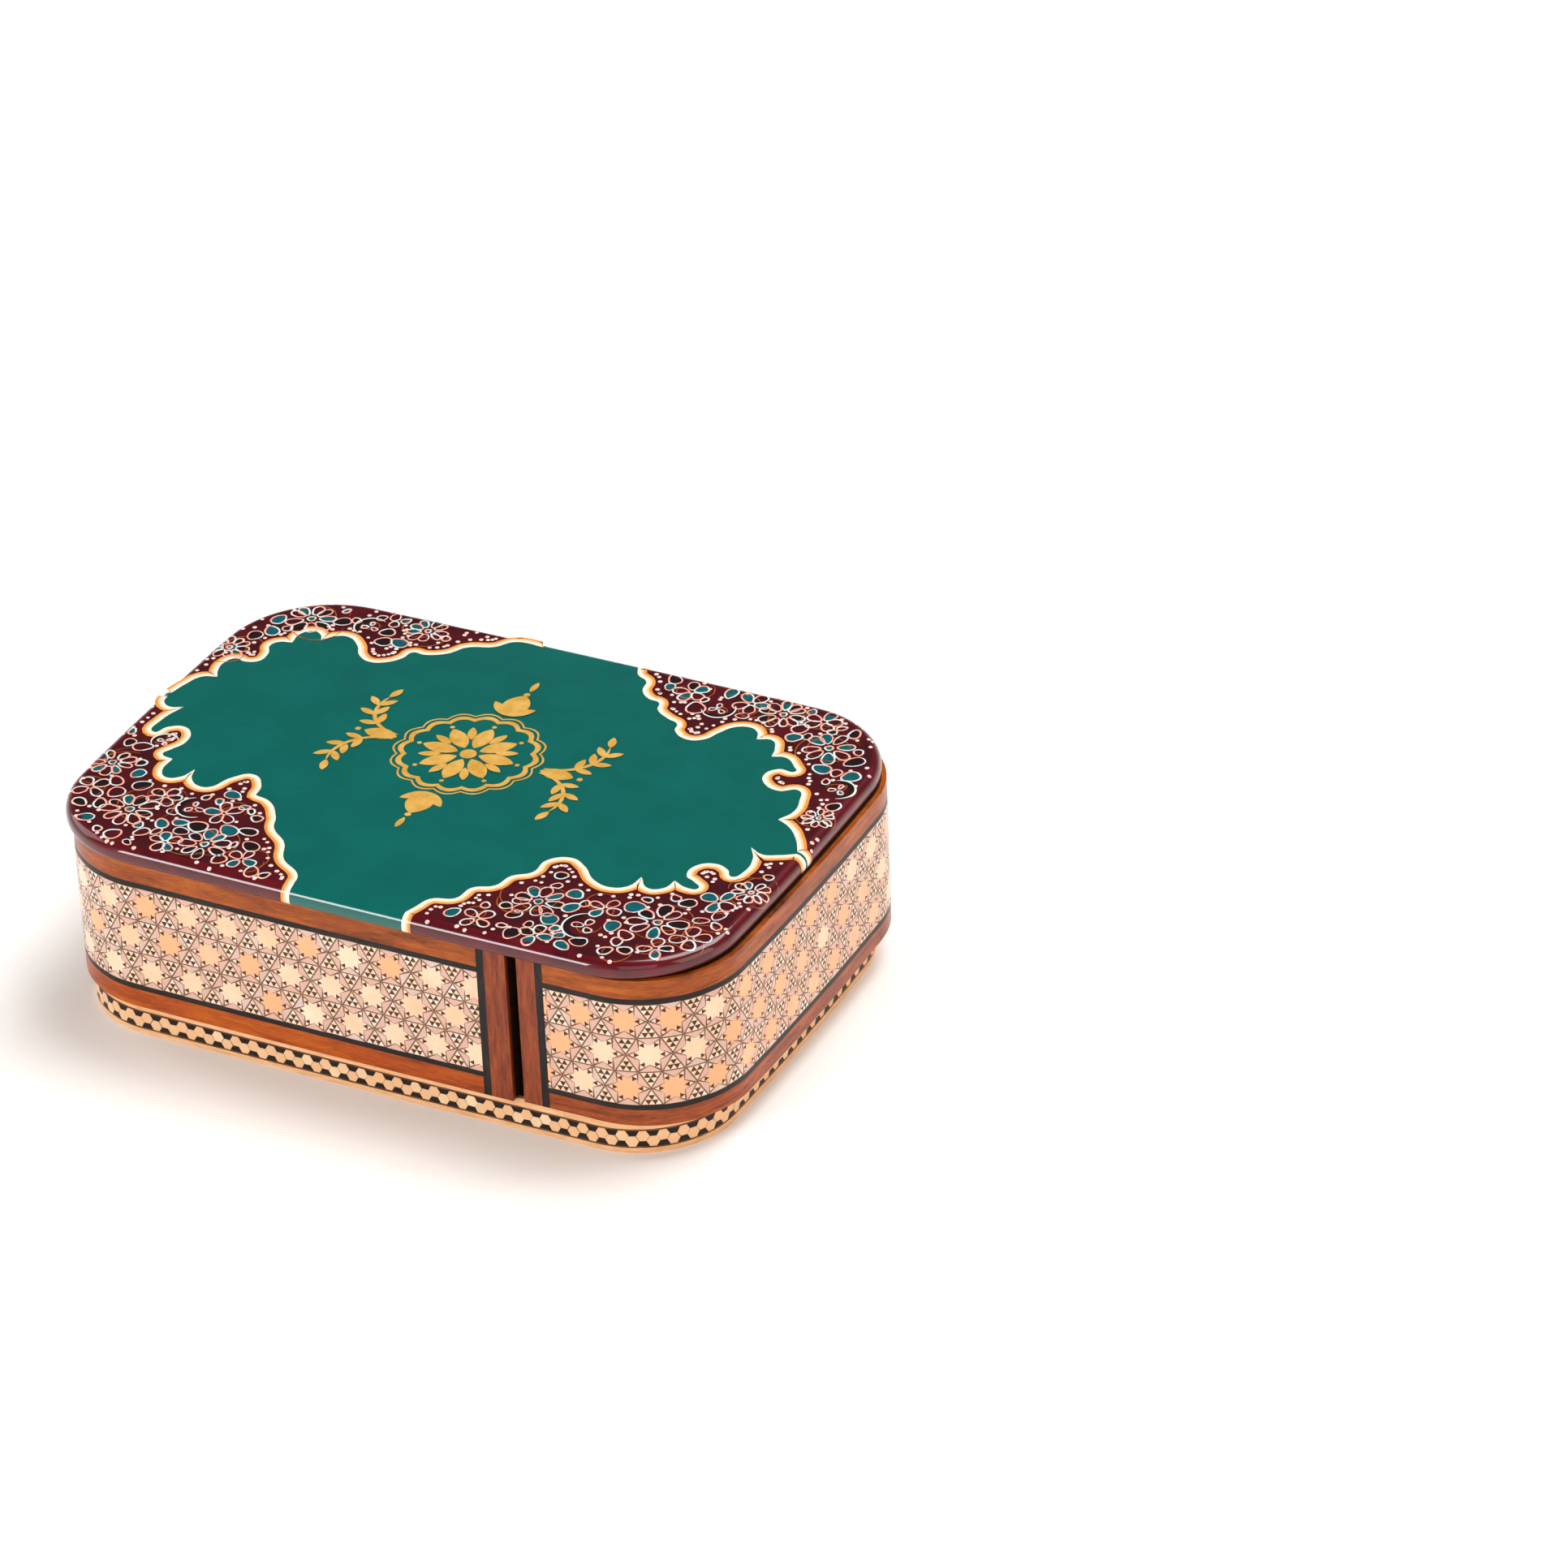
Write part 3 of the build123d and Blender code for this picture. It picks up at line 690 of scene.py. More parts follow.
BACK_RIGHT = (
    ((8.8, 40.5), (9.8, 38.6), (12.0, 37.2), (12.8, 34.4), (15.0, 32.4), (17.0, 32.0),
     (17.9, 29.9), (20.8, 28.0), (22.8, 27.2), (23.6, 25.0), (26.8, 23.4), (29.2, 24.6),
     (30.4, 27.2), (32.0, 29.9), (34.4, 30.8), (36.0, 30.0), (37.0, 27.9)),
    ((37.0, 27.9), (39.4, 28.6), (41.0, 26.4), (41.6, 24.0)),
    ((41.6, 24.0), (43.8, 24.6), (46.4, 22.6), (47.2, 21.4), (44.4, 21.0), (43.0, 18.6),
     (44.4, 16.0), (47.4, 15.0), (50.2, 16.4), (51.8, 13.6), (52.4, 10.2), (51.2, 7.2)),
    ((51.2, 7.2), (53.8, 5.8), (56.4, 3.0), (58.4, -0.4)),
)
FRONT_RIGHT = (
    ((9.8, -40.4), (10.4, -38.6), (11.6, -35.4), (15.0, -33.8), (16.0, -30.0), (19.0, -28.0),
     (20.0, -24.6), (22.6, -22.2), (23.0, -18.2), (26.2, -16.0), (29.4, -17.4), (32.6, -20.4),
     (36.0, -21.3), (38.4, -19.9), (39.1, -16.7)),
    ((39.1, -16.7), (41.6, -19.2), (43.8, -18.2), (44.4, -15.6)),
    ((44.4, -15.6), (47.2, -16.7), (48.8, -16.2), (47.2, -14.6), (45.5, -13.6), (45.4, -10.4),
     (48.0, -8.6), (50.6, -9.4), (52.2, -11.0), (53.2, -9.0), (52.8, -5.0), (51.0, -2.0)),
    ((51.0, -2.0), (53.6, -3.2), (56.0, -2.4), (58.4, -1.0)),
)
CORNERS = {"back_left": BACK_LEFT, "front_left": FRONT_LEFT,
           "back_right": BACK_RIGHT, "front_right": FRONT_RIGHT}


def scalloped(runs):
    """Samples the line, and says which of its samples are spikes."""
    points = []
    spikes = []
    for run in runs:
        curve = bpy.data.curves.new("scallop", "CURVE")
        curve.resolution_u = 7
        spline = curve.splines.new("BEZIER")
        spline.bezier_points.add(len(run) - 1)
        for knot, (x, y) in zip(spline.bezier_points, run):
            knot.co = (x * MM, y * MM, 0)
            knot.handle_left_type = "AUTO"
            knot.handle_right_type = "AUTO"
        holder = bpy.data.objects.new("scallop", curve)
        mesh = bpy.data.meshes.new_from_object(holder)
        sampled = [vert.co.xy for vert in mesh.vertices]
        points += sampled if not points else sampled[1:]
        spikes.append(len(points) - 1)
        bpy.data.objects.remove(holder)
        bpy.data.curves.remove(curve)
        bpy.data.meshes.remove(mesh)
    return [Vector(p) for p in points], spikes[:-1]


# %% [markdown]
# The lines between green and burgundy are drawn as bands. A band is the border line and a
# copy of it moved inwards. Near a spike there is no room for the full width, so each point
# moves only as far as it stays clear of the rest of the line, and the band thins out there
# as a brush stroke does.

# %% Bands along a border line
CREAM_WIDTH = 0.7 * MM
PEACH_WIDTH = 0.35 * MM
AMBER_WIDTH = 0.5 * MM
GROUND_HEIGHT = 0.02 * MM
BAND_HEIGHT = 0.05 * MM
RIM_STEPS = 90                # pieces that a corner's rim is cut into
SEARCH_STEPS = 2000           # places tried when a point is looked up on the outline


def inward(points, corner_name):
    """The direction into the burgundy at each sample."""
    side = 1 if corner_name in ("back_left", "front_right") else -1
    normals = []
    for k in range(len(points)):
        before = points[max(k - 1, 0)]
        after = points[min(k + 1, len(points) - 1)]
        tangent = (after - before).normalized()
        normals.append(Vector((tangent.y, -tangent.x)) * side)
    return normals


def moved(points, normals, width):
    """The line moved inwards by width, less where the line folds close to itself."""
    result = []
    for point, normal in zip(points, normals):
        room = width
        for _ in range(7):
            tip = point + normal * room
            if min((tip - other).length for other in points) >= room * 0.9:
                break
            room *= 0.72
        result.append(point + normal * room)
    return result


def band(bm, first, second, height, kind):
    """A strip of quads between two lines of equal count."""
    row_a = [bm.verts.new((p.x, p.y, height)) for p in first]
    row_b = [bm.verts.new((p.x, p.y, height)) for p in second]
    for k in range(len(row_a) - 1):
        face = bm.faces.new((row_a[k], row_a[k + 1], row_b[k + 1], row_b[k]))
        face.material_index = kind


def snap(point):
    """Moves a point to where the flat of the lid ends."""
    inside, out = from_edge(point.x, point.y)
    return point + out * (inside - TOP_ROUND)


def place_on_flat(point):
    """How far along the flat's outline a point of it lies."""
    total = outline_length(TOP_ROUND)
    places = [k / SEARCH_STEPS * total for k in range(SEARCH_STEPS)]
    return min(places, key=lambda place: (walk(TOP_ROUND, place)[0] - point).length)


def rim_patch(bm, start, stop, height, kind, steps):
    """A patch of paint over the rounded edge between two places on the outline."""
    whole = EDGE_ARC + EDGE_FLAT + EDGE_UNDER * 0.6
    made = bmesh.ops.create_grid(bm, x_segments=steps, y_segments=14, size=0.5)
    for vert in made["verts"]:
        foot, out = walk(TOP_ROUND, start + (stop - start) * (vert.co.x + 0.5))
        reach, drop, slope = edge_profile(whole * (0.5 - vert.co.y))
        flat = foot + out * (reach + height * math.sin(slope))
        vert.co = (flat.x, flat.y, LID_TOP - drop + height * math.cos(slope))
    for face in {f for v in made["verts"] for f in v.link_faces}:
        face.material_index = kind


# %% Lay the burgundy corners with their cream and amber bands
border = {}
for corner_name, runs in CORNERS.items():
    points, spikes = scalloped(runs)
    points[0] = snap(points[0])
    points[-1] = snap(points[-1])
    normals = inward(points, corner_name)
    cream_edge = moved(points, normals, CREAM_WIDTH)
    peach_edge = moved(points, normals, CREAM_WIDTH + PEACH_WIDTH)
    amber_edge = moved(points, normals, CREAM_WIDTH + PEACH_WIDTH + AMBER_WIDTH)
    for edge in (cream_edge, peach_edge, amber_edge):
        edge[0], edge[-1] = snap(edge[0]), snap(edge[-1])
    side_place = place_on_flat(points[0])
    end_place = place_on_flat(points[-1])
    total = outline_length(TOP_ROUND)
    way = 1 if corner_name in ("front_right", "back_left") else -1
    span = (end_place - side_place) * way % total
    rim = [walk(TOP_ROUND, side_place + way * span * k / RIM_STEPS) for k in range(RIM_STEPS + 1)]
    bm = bmesh.new()
    loop = points + [foot for foot, _ in reversed(rim)][1:-1]
    ground = bm.faces.new([bm.verts.new((p.x, p.y, LID_TOP + GROUND_HEIGHT)) for p in loop])
    ground.normal_update()
    bmesh.ops.triangulate(bm, faces=[ground], ngon_method="EAR_CLIP")
    # The burgundy that wraps over the rounded edge takes the lighter copy: painted light on the rim.
    rim_patch(bm, side_place, side_place + way * span, GROUND_HEIGHT, 4, RIM_STEPS)
    band(bm, points, cream_edge, LID_TOP + BAND_HEIGHT, 1)
    band(bm, cream_edge, peach_edge, LID_TOP + BAND_HEIGHT, 2)
    band(bm, peach_edge, amber_edge, LID_TOP + BAND_HEIGHT, 3)
    for place, sign in ((side_place, way), (end_place, -way)):
        reached = 0.0
        for kind, width in ((1, CREAM_WIDTH), (2, PEACH_WIDTH), (3, AMBER_WIDTH)):
            rim_patch(bm, place + sign * reached, place + sign * (reached + width),
                      BAND_HEIGHT, kind, 2)
            reached += width
    bm.normal_update()
    for face in bm.faces:
        centre = face.calc_center_median()
        inside, out = from_edge(centre.x, centre.y)
        outward = Vector((out.x, out.y, 0)) if inside < TOP_ROUND * 0.3 else Vector((0, 0, 1))
        if face.normal.dot(outward) < 0:
            face.normal_flip()
    make_piece("paint_ground_" + corner_name, bm,
               (burgundy_ground, cream_line, peach_line, amber_line, burgundy_rim_painted_light),
               "case", smooth=True)
    patch = points + [foot + out * 2 * TOP_ROUND for foot, out in reversed(rim)]
    border[corner_name] = (points, normals, patch)

# %% [markdown]
# ## Flowers, eyes, dots and scrolls
# The painter fills each corner freely: loose daisies of long loops, little clusters, single
# eyes washed with teal or black, rows of drops beside the border and the rim, and thin rust
# scrolls under it all. A loop is an oval whose rim is inset, and the brush was loaded with
# two colours, so part of each rim is salmon and the rest grey white. The wash under it is a
# little out of place, as hand work is. The scatter is random but seeded.

# %% Brush marks
WASH_HEIGHT = 0.035 * MM
SCROLL_HEIGHT = 0.045 * MM
LINE_HEIGHT = 0.065 * MM
DOT_HEIGHT = 0.12 * MM
LAYER = 0.006 * MM
BRUSH = 0.29 * MM
WASH_SLIP = 0.16 * MM         # how far a wash misses its loop
PINK, PALE, TEAL, BLACK, RUST, DROP = range(6)
marks_made = 0


def next_height(lowest, layers):
    """Overlapping marks get heights of their own, so none lies in another's surface."""
    global marks_made
    marks_made += 1
    return lowest + marks_made % layers * LAYER


def oval(bm, at, angle, length, width, height, dice, wobble=0.05):
    """A flat egg-shaped face, wider at its far end, drawn by an unsteady hand."""
    place = Matrix.Translation((at.x, at.y, height)) @ Matrix.Rotation(angle, 4, "Z")
    made = bmesh.ops.create_circle(bm, cap_ends=True, segments=16, radius=1.0)
    for vert in made["verts"]:
        along, across = vert.co.x, vert.co.y * (1 + 0.22 * vert.co.x)
        vert.co = place @ Vector((along * length / 2 + dice.uniform(-wobble, wobble) * MM,
                                  across * width / 2 + dice.uniform(-wobble, wobble) * MM, 0))
    face = made["verts"][0].link_faces[0]
    face.normal_update()
    return face


def loop_mark(bm, at, angle, length, width, wash, dice):
    """A brushed loop over a wash that is a little out of place."""
    if wash is not None:
        wash_at = at + polar(dice.uniform(0, math.tau), WASH_SLIP)
        face = oval(bm, wash_at, angle, length * 0.88, width * 0.88,
                    next_height(WASH_HEIGHT, 4), dice, 0.08)
        face.material_index = wash
        bmesh.ops.poke(bm, faces=[face])
    face = oval(bm, at, angle, length, width, next_height(LINE_HEIGHT, 8), dice)
    brush = min(BRUSH * dice.uniform(0.8, 1.2), width * 0.36)
    rim = bmesh.ops.inset_region(bm, faces=[face], thickness=brush,
                                 use_boundary=True, use_even_offset=True)["faces"]
    first = dice.randrange(16)
    pale = dice.choice((4, 6, 8, 10))
    for k, part in enumerate(rim):
        part.material_index = PALE if (k - first) % 16 < pale else PINK
    bmesh.ops.delete(bm, geom=[face], context="FACES_ONLY")


def drop(bm, at, radius):
    """A small raised drop of paint."""
    place = Matrix.Translation((at.x, at.y, WASH_HEIGHT))
    made = bmesh.ops.create_circle(bm, cap_ends=True, segments=8, radius=radius, matrix=place)
    face = made["verts"][0].link_faces[0]
    face.normal_update()
    face.material_index = DROP
    crown = bmesh.ops.inset_region(bm, faces=[face], thickness=radius * 0.4,
                                   use_boundary=True)["faces"]
    for part in crown:
        part.material_index = DROP
    bmesh.ops.translate(bm, verts=face.verts[:], vec=(0, 0, DOT_HEIGHT - WASH_HEIGHT))


def stroke(bm, points, width, height, kind):
    """A thin brushed line along points, pointed at both ends."""
    count = len(points)
    left = []
    right = []
    for k, point in enumerate(points):
        tangent = (points[min(k + 1, count - 1)] - points[max(k - 1, 0)]).normalized()
        beside = Vector((-tangent.y, tangent.x))
        half = width / 2 * (0.2 + 0.8 * math.sin(math.pi * k / (count - 1)) ** 0.5)
        left.append(point + beside * half)
        right.append(point - beside * half)
    band(bm, right, left, height, kind)


def arc_points(at, radius, start, turn, count=14, grow=0.0):
    """Points along an arc or, with grow, a spiral."""
    shares = [k / (count - 1) for k in range(count)]
    return [at + polar(start + turn * share, radius * (1 + grow * share)) for share in shares]


def scrolls(bm, at, size, count, dice):
    """Thin rust arcs that wander round a flower."""
    for _ in range(count):
        off = Vector((dice.uniform(-0.5, 0.5), dice.uniform(-0.5, 0.5))) * size
        arc = arc_points(at + off, size * dice.uniform(0.6, 1.0), dice.uniform(0, math.tau),
                         dice.uniform(2.0, 4.4), 18, dice.uniform(-0.4, 0.2))
        stroke(bm, arc, 0.2 * MM, next_height(SCROLL_HEIGHT, 3), RUST)


def daisy(bm, at, size, petals, dice):
    """Long looped petals round a ringed middle."""
    start = dice.uniform(0, math.tau)
    scrolls(bm, at, size * 1.1, 3, dice)
    for k in range(petals):
        angle = start + math.tau * k / petals + dice.uniform(-0.14, 0.14)
        reach = size * dice.uniform(0.88, 1.08)
        wash = dice.choice((TEAL, BLACK, None, None))
        loop_mark(bm, at + polar(angle, reach * 0.62), angle, reach * 0.72,
                  reach * dice.uniform(0.4, 0.52), wash, dice)
    loop_mark(bm, at, 0, size * 0.34, size * 0.34, TEAL, dice)


def cluster(bm, at, size, loops, dice):
    """A few short loops that lean on each other."""
    start = dice.uniform(0, math.tau)
    scrolls(bm, at, size * 1.1, 2, dice)
    for k in range(loops):
        angle = start + math.tau * k / loops + dice.uniform(-0.25, 0.25)
        loop_mark(bm, at + polar(angle, size * 0.55), angle, size * dice.uniform(0.85, 1.0),
                  size * dice.uniform(0.58, 0.76),
                  dice.choice((TEAL, BLACK, None, None, None)), dice)


def eye(bm, at, size, dice):
    """A single loop, often washed."""
    loop_mark(bm, at, dice.uniform(0, math.tau), size * 2, size * dice.uniform(1.3, 1.8),
              dice.choice((TEAL, BLACK, None)), dice)


def crescent(bm, at, size, start, dice):
    """A new moon of black with a pale back, holding a small cluster."""
    stroke(bm, arc_points(at, size * 0.84, start + 0.2, 2.9, 20), 0.9 * MM,
           WASH_HEIGHT + LAYER * 5, BLACK)
    stroke(bm, arc_points(at, size, start, 3.4, 22), 0.34 * MM, LINE_HEIGHT + LAYER * 9, PALE)
    cluster(bm, at, size * 0.62, 3, dice)


# %% Fill each corner
DAISIES = {
    "back_left": ((-29, 37.5, 4.0), (-49, 33.5, 4.8), (-57, 20, 3.8)),
    "front_left": ((-46, -31, 5.0), (-29.5, -35.5, 4.8), (-56, -19.5, 4.2)),
    "back_right": ((37.5, 36.5, 4.4), (49, 30, 5.0), (57, 10, 3.0)),
    "front_right": ((47.5, -27.5, 5.2), (27.5, -29.5, 4.8), (57, -14, 3.4)),
}
CRESCENTS = {
    "back_left": ((-38.5, 35, 2.8, 1.0),),
    "front_left": ((-36.5, -26.5, 3.0, 2.0), (-51.5, -10.5, 2.2, 0.5)),
    "back_right": ((27, 34, 2.8, 3.6), (56, 19, 2.8, 5.0)),
    "front_right": ((37.6, -33, 3.6, 1.9),),
}
MARKS = ((2.9, 3.5, 400, "cluster"), (1.5, 2.0, 500, "eye"), (1.0, 1.3, 500, "eye"),
         (0.34, 0.42, 500, "drop"))
BORDER_GAP = 1.75 * MM


def beside_line(point, line):
    """Distance into the burgundy from the nearest sample of the border, or less than nothing."""
    points, _, patch = line
    crossings = 0
    for a, b in zip(patch, patch[1:] + patch[:1]):
        if (a.y > point.y) != (b.y > point.y):
            crossings += point.x < a.x + (point.y - a.y) / (b.y - a.y) * (b.x - a.x)
    gap = min((other - point).length for other in points)
    return gap if crossings % 2 else -gap


def fill_corner(corner_name, seed):
    """All the brush marks of one corner in one mesh."""
    dice = random.Random(seed)
    line = border[corner_name]
    points, normals, _ = line
    sign_x = -1 if "left" in corner_name else 1
    sign_y = -1 if "front" in corner_name else 1
    bm = bmesh.new()
    taken = []
    for x, y, size in DAISIES[corner_name]:
        taken.append((Vector((x, y)) * MM, size * MM))
        daisy(bm, *taken[-1], dice.choice((8, 9, 10)), dice)
    for x, y, size, start in CRESCENTS[corner_name]:
        taken.append((Vector((x, y)) * MM, size * MM))
        crescent(bm, *taken[-1], start, dice)
    row = 0.0
    for k in range(1, len(points)):
        row += (points[k] - points[k - 1]).length
        if row < 1.25 * MM:
            continue
        row = 0.0
        place = points[k] + normals[k] * 2.45 * MM
        if beside_line(place, line) > 2.2 * MM and dice.random() < 0.72:
            drop(bm, place, dice.uniform(0.32, 0.42) * MM)
            taken.append((place, 0.5 * MM))
    for low, high, tries, kind in MARKS:
        for _ in range(tries):
            point = Vector((dice.uniform(6, 61) * sign_x, dice.uniform(-3, 43.5) * sign_y)) * MM
            size = dice.uniform(low, high) * MM
            if from_edge(point.x, point.y)[0] < (0.2 if kind == "drop" else 0.9) * MM + size * 0.8:
                continue
            if any((point - other).length < (size + room) * 0.8 for other, room in taken):
                continue
            if beside_line(point, line) < BORDER_GAP + size:
                continue
            taken.append((point, size))
            if kind == "cluster":
                cluster(bm, point, size, dice.choice((3, 4, 5)), dice)
            elif kind == "eye":
                eye(bm, point, size, dice)
            else:
                drop(bm, point, size)
    bm.normal_update()
    lay_on_lid(bm)
    print(corner_name, "brush marks", len(taken), "faces", len(bm.faces))
    make_piece("paint_flowers_" + corner_name, bm,
               (pink_line, pale_line, teal_fill, black_fill, rust_scroll, dot_white),
               "case", smooth=True)


for number, corner_name in enumerate(CORNERS):
    fill_corner(corner_name, 40 + number)

# %% [markdown]
# ## The gold medallion
# In the middle sits a gold ornament of a general kind: an eight-fold rosette in a scalloped
# ring, a bud above and below it, and leafy sprays on each side. It is gold paint under the
# lid's lacquer. It is drawn in millimetres about its own middle and moved into place at the end.

# %% Gold shapes
GOLD_HEIGHT = 0.05 * MM
MEDALLION = Vector((-4.0, 5.5)) * MM


def leaf(bm, at, angle, length, width):
    """A leaf with two pointed ends that starts at a point and grows along angle."""
    height = next_height(GOLD_HEIGHT, 17)
    place = Matrix.Translation((at.x, at.y, height)) @ Matrix.Rotation(angle, 4, "Z")
    made = bmesh.ops.create_circle(bm, cap_ends=True, segments=24, radius=1.0)
    for vert in made["verts"]:
        along, across = vert.co.x, vert.co.y
        across *= abs(across) ** 0.7
        vert.co = place @ Vector(((along + 1) * length / 2, across * width / 2, 0))


def scalloped_ring(bm, radius, lobes, depth, width):
    """A closed line of outward lobes."""
    turns = [math.tau * k / (lobes * 12) for k in range(lobes * 12 + 1)]
    inner = [polar(turn, radius + depth * abs(math.sin(lobes * turn / 2))) for turn in turns]
    outer = [point + polar(turn, width) for point, turn in zip(inner, turns)]
    band(bm, outer, inner, GOLD_HEIGHT, 0)


def disc(bm, at, radius):
    """A round gold dot."""
    bmesh.ops.create_circle(bm, cap_ends=True, segments=24, radius=radius,
                            matrix=Matrix.Translation((at.x, at.y, GOLD_HEIGHT)))


# %% Draw the medallion
UP = math.pi / 2
bm = bmesh.new()
for k in range(8):
    angle = math.tau * k / 8
    leaf(bm, polar(angle, 1.9), angle, 6.4, 3.0)
    between = angle + math.tau / 16
    leaf(bm, polar(between, 4.4), between, 3.8, 1.5)
    disc(bm, polar(angle, 9.0), 0.4)
disc(bm, Vector((0, 0)), 1.4)
scalloped_ring(bm, 10.0, 16, 0.9, 0.95)
scalloped_ring(bm, 11.5, 16, 0.9, 0.35)
for way in (1, -1):
    upright = UP * way
    leaf(bm, Vector((0, way * 12.9)), upright, 6.8, 4.6)
    for lean in (0.85, -0.85):
        leaf(bm, Vector((0, way * 12.9)), upright + lean, 5.0, 1.9)
    disc(bm, Vector((0, way * 20.2)), 0.55)
    leaf(bm, Vector((0, way * 21.2)), upright, 3.2, 1.1)
    leaf(bm, Vector((way * 13.2, 0)), UP * (1 - way), 6.0, 3.2)
    disc(bm, Vector((way * 20.4, 0)), 0.5)
    for lift in (1, -1):
        stem = arc_points(Vector((way * 13.4, lift * 8.2)), 7.4, -UP * lift, 1.9 * way * lift, 20)
        stroke(bm, stem, 0.7, next_height(GOLD_HEIGHT, 17), 0)
        for step in (7, 11, 15):
            ahead = stem[step + 1] - stem[step - 1]
            along = math.atan2(ahead.y, ahead.x)
            for lean in (0.8, -0.8):
                leaf(bm, stem[step], along + lean, 3.3, 1.35)
        ahead = stem[-1] - stem[-2]
        leaf(bm, stem[-1], math.atan2(ahead.y, ahead.x), 3.2, 1.4)
bmesh.ops.scale(bm, verts=bm.verts[:], vec=(MM, MM, 1))
bmesh.ops.translate(bm, verts=bm.verts[:], vec=MEDALLION.to_3d())
bm.normal_update()
bmesh.ops.triangulate(bm, faces=[f for f in bm.faces if len(f.verts) > 4])
lay_on_lid(bm)
bm.normal_update()
bmesh.ops.reverse_faces(bm, faces=[f for f in bm.faces if f.normal.z < 0])
make_piece("paint_medallion", bm, (gold_paint,), "case")

# %% [markdown]
# ## Linings, felt and the stop pin
# Inside the drawer there is red velvet: a fine nap that is brighter where it turns away from
# the eye, which is what sheen does, and mottled where it has been stroked. Under the foot is
# a thin felt with matted fibres. The brass pin that stops the drawer is turned and dull.

# %% Soft linings and the pin


def pile(name, dark, light, mottle_mm, nap_mm, sheen, height):
    """Cloth with a nap: mottled colour, a fine bump, and sheen on its own socket."""
    material, tree, shader = new_finish(name, Roughness=0.95, Sheen_Weight=sheen,
                                        Sheen_Roughness=0.35, Specular_IOR_Level=0.1)
    place = node(tree, "TexCoord").outputs["Object"]
    stroked = node(tree, "TexNoise", {"Vector": place, "Scale": 1 / (mottle_mm * MM),
                                      "Detail": 5.0, "Roughness": 0.65})
    colour = tones(tree, stroked.outputs["Fac"], (0.35, dark), (0.68, light))
    nap = node(tree, "TexNoise", {"Vector": place, "Scale": 1 / (nap_mm * MM), "Detail": 3.0})
    bump = node(tree, "Bump", {"Height": nap.outputs["Fac"], "Distance": height * MM})
    tree.links.new(colour, shader.inputs["Base Color"])
    tree.links.new(bump.outputs["Normal"], shader.inputs["Normal"])
    return material


velvet = pile("red_velvet_stroked", "4A0A12", "7A1420", 9.0, 0.35, 0.6, 0.12)
felt = pile("green_felt_matted", "16382C", "235042", 4.0, 0.5, 0.3, 0.15)
dress(velvet, "tray_floor_lining", "tray_wall_lining")
dress(felt, "base_felt")

brass, brass_tree, brass_shader = new_finish("brass_pin_turned", Metallic=1.0, Roughness=0.32)
brass_place = node(brass_tree, "TexCoord").outputs["Object"]
brass_marks = node(brass_tree, "TexNoise", {"Vector": brass_place, "Scale": 1 / (0.6 * MM),
                                            "Detail": 4.0})
brass_colour = tones(brass_tree, brass_marks.outputs["Fac"], (0.0, "8A6A2E"), (1.0, "CFA957"))
brass_tree.links.new(brass_colour, brass_shader.inputs["Base Color"])
dress(brass, "drawer_stop_pin")

# %% A braid of cord where the lining meets the tray's rim
CORD = 0.55 * MM
tray_low, tray_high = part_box("tray_wall_lining")
tray_middle = (tray_low.x + tray_high.x) / 2
cord_inset = (HALF_LENGTH - (tray_high.x - tray_low.x) / 2) + 0.35 * MM
bm = bmesh.new()
length = outline_length(cord_inset)
count = 480
rings = []
for k in range(count):
    foot, out = walk(cord_inset, k / count * length)
    twist = k * 0.62
    ring = []
    for j in range(8):
        turn = math.tau * j / 8
        reach = CORD * (0.82 + 0.18 * math.cos(2 * (turn - twist)))
        side = foot + out * reach * math.cos(turn)
        ring.append(bm.verts.new((side.x + tray_middle, side.y,
                                  tray_high.z + CORD * 0.2 + reach * math.sin(turn))))
    rings.append(ring)
for a, b in zip(rings, rings[1:] + rings[:1]):
    for j in range(8):
        bm.faces.new((a[j], a[(j + 1) % 8], b[(j + 1) % 8], b[j]))
bmesh.ops.recalc_face_normals(bm, faces=bm.faces[:])
cord_gold = pile("gold_silk_cord", "9A6A24", "D2A24A", 1.2, 0.2, 0.5, 0.05)
make_piece("tray_lining_cord", bm, (cord_gold,), "drawer", smooth=True)

# %% [markdown]
# ## Camera, floor and light
# The box stands on a plain pale floor. A large soft light overhead and one in front make the
# brightness, and three weaker ones fill the left, the right and the near corner. From the
# camera the lacquer mirrors the room some thirty degrees above the floor, so the room is nearly
# dark from there up, which leaves the lid its deep colours, and bright only near the floor. The
# camera stands off to the front right and looks down on the box.

# %% Camera
CAMERA_AZIMUTH = math.radians(27.74)
CAMERA_ELEVATION = math.radians(31.41)
CAMERA_ROLL = math.radians(-2.41)
CAMERA_DISTANCE = 1243.3 * MM
CAMERA_TARGET = Vector((33.1, 44.1, 18.0)) * MM
CAMERA_LENS = 173.16

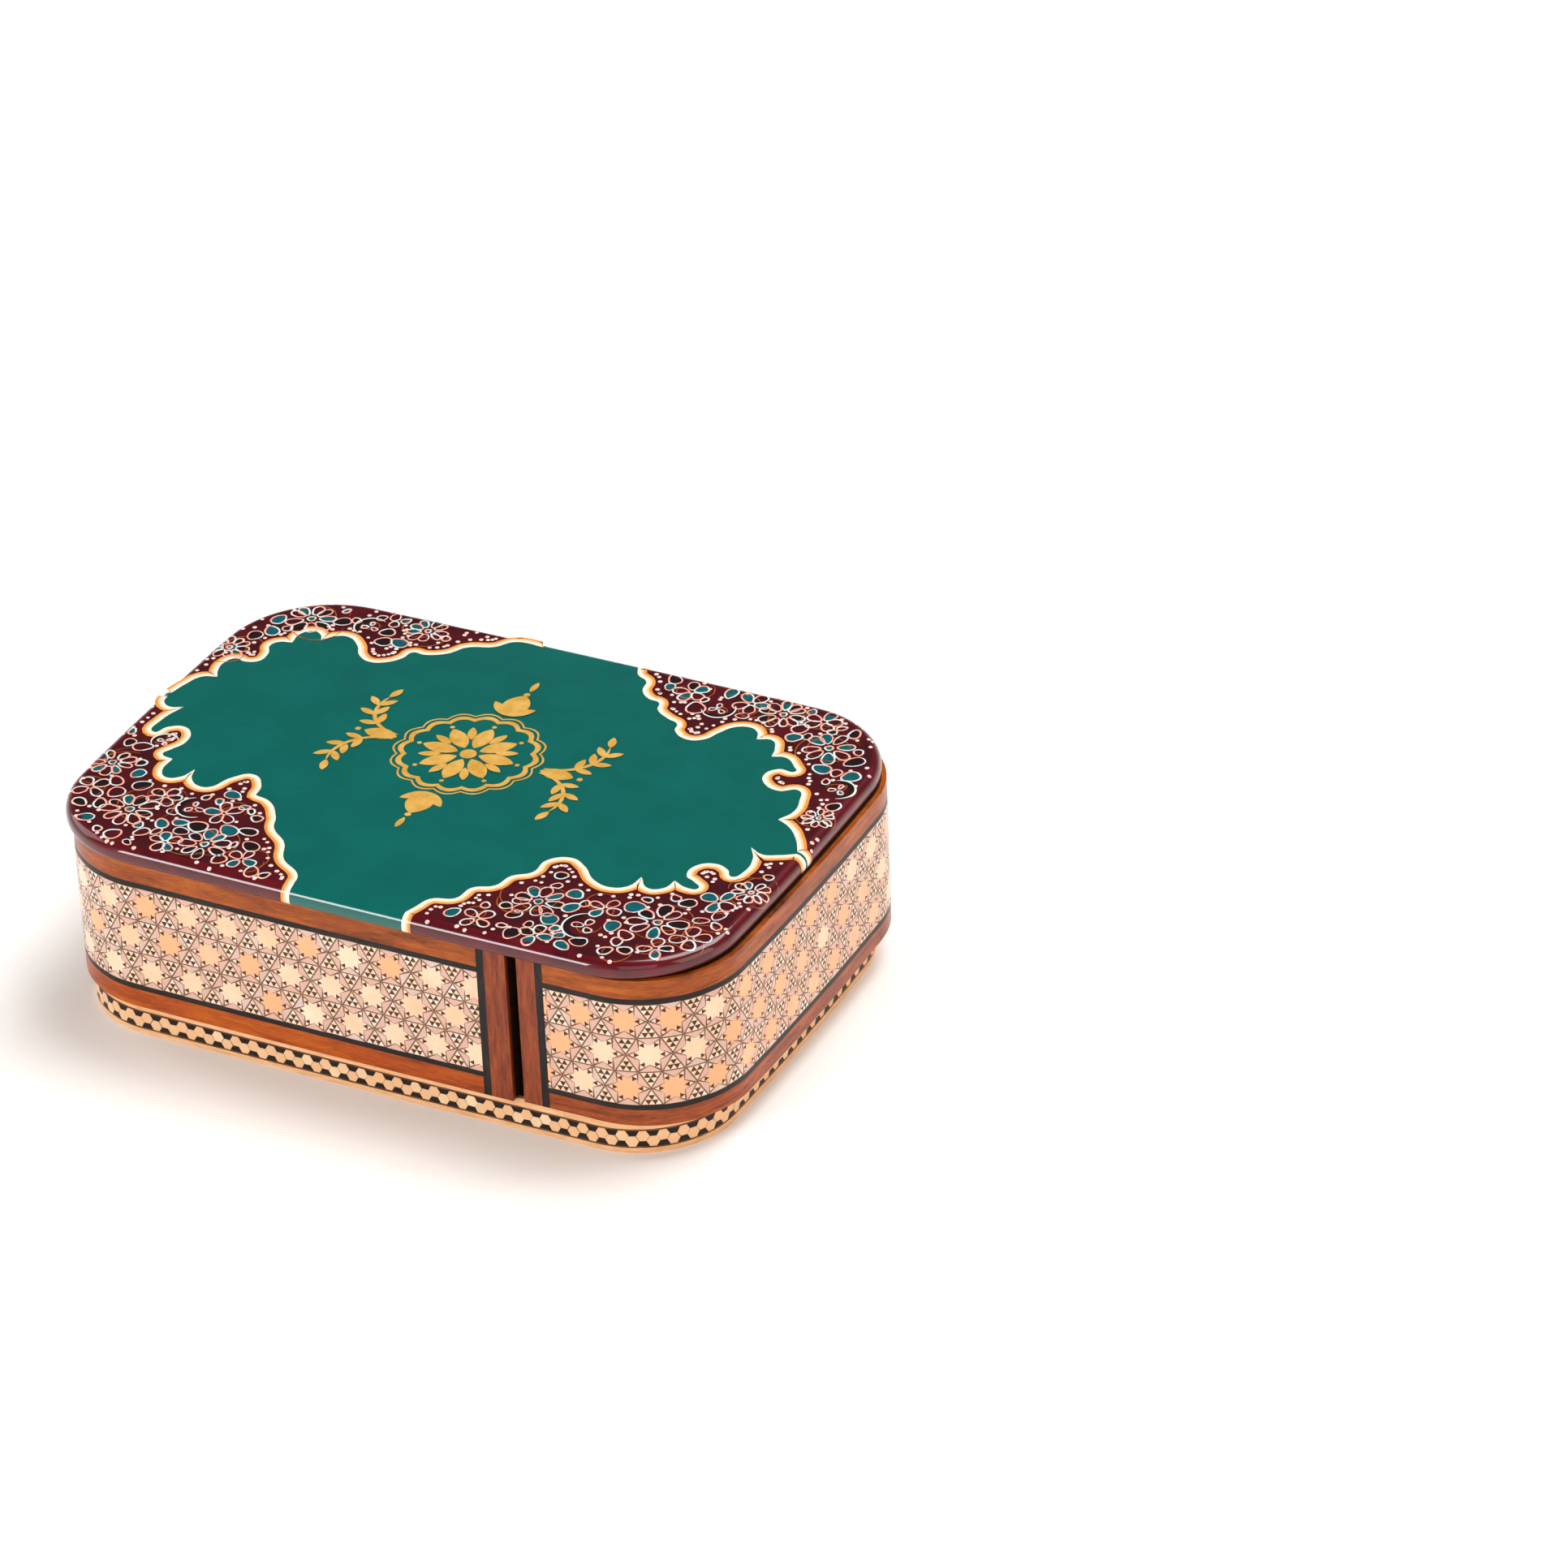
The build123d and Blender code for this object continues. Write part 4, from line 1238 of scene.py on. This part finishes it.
back = Vector((math.sin(CAMERA_AZIMUTH) * math.cos(CAMERA_ELEVATION),
               -math.cos(CAMERA_AZIMUTH) * math.cos(CAMERA_ELEVATION),
               math.sin(CAMERA_ELEVATION)))
camera_data = bpy.data.cameras.new("camera")
camera = bpy.data.objects.new("camera", camera_data)
bpy.context.scene.collection.objects.link(camera)
camera_data.lens = CAMERA_LENS
camera_data.sensor_width = 36
camera_data.clip_start = 0.05
camera_data.clip_end = 20
camera.location = CAMERA_TARGET + back * CAMERA_DISTANCE
camera.rotation_mode = "QUATERNION"
roll = Matrix.Rotation(CAMERA_ROLL, 3, "Z")
camera.rotation_quaternion = (back.to_track_quat("Z", "Y").to_matrix() @ roll).to_quaternion()
bpy.context.scene.camera = camera
bpy.context.scene.view_settings.view_transform = "Standard"

# %% Floor and lights
floor_mesh = bpy.data.meshes.new("floor")
floor_bm = bmesh.new()
bmesh.ops.create_grid(floor_bm, x_segments=1, y_segments=1, size=3.0)
floor_bm.to_mesh(floor_mesh)
floor_bm.free()
floor = bpy.data.objects.new("floor", floor_mesh)
bpy.context.scene.collection.objects.link(floor)
floor_finish, _, _ = new_finish("pale_floor", Base_Color=srgb("FCFBFA"), Roughness=0.85)
floor_mesh.materials.append(floor_finish)


def soft_light(name, place, size, energy, colour):
    """A square area light that looks at the middle of the box."""
    data = bpy.data.lights.new(name, "AREA")
    data.size = size
    data.energy = energy
    data.color = srgb(colour)[:3]
    lamp = bpy.data.objects.new(name, data)
    bpy.context.scene.collection.objects.link(lamp)
    lamp.location = place
    lamp.rotation_mode = "QUATERNION"
    lamp.rotation_quaternion = (Vector(place) - Vector((0, 0, 0.02))).to_track_quat("Z", "Y")


soft_light("ceiling_softbox", (0.3, 0.5, 1.25), 0.9, 18.5, "FFFFFF")
soft_light("front_window", (-0.62, -1.29, 0.62), 0.5, 12.0, "FFFFFF")
soft_light("front_fill", (0.7, -1.2, 0.8), 0.9, 3.2, "FFFDF8")
soft_light("left_fill", (-1.3, 0.0, 0.8), 0.9, 6.0, "FFFDF8")
soft_light("right_fill", (1.3, -0.1, 0.6), 0.9, 7.0, "FFE6CE")

# %% A room that is bright near the floor and dim above, so the lid keeps its deep colours
world = bpy.data.worlds.new("studio")
bpy.context.scene.world = world
world.use_nodes = True
sky = world.node_tree
upward = node(sky, "SeparateXYZ", {"Vector": node(sky, "TexCoord").outputs["Generated"]})
room = node(sky, "ValToRGB", {"Fac": upward.outputs["Z"]})
for stop, place, grey in zip(room.color_ramp.elements, (0.02, 0.32), (0.85, 0.04)):
    stop.position = place
    stop.color = (grey, grey, grey, 1)
sky.links.new(room.outputs["Color"], sky.nodes["Background"].inputs["Color"])
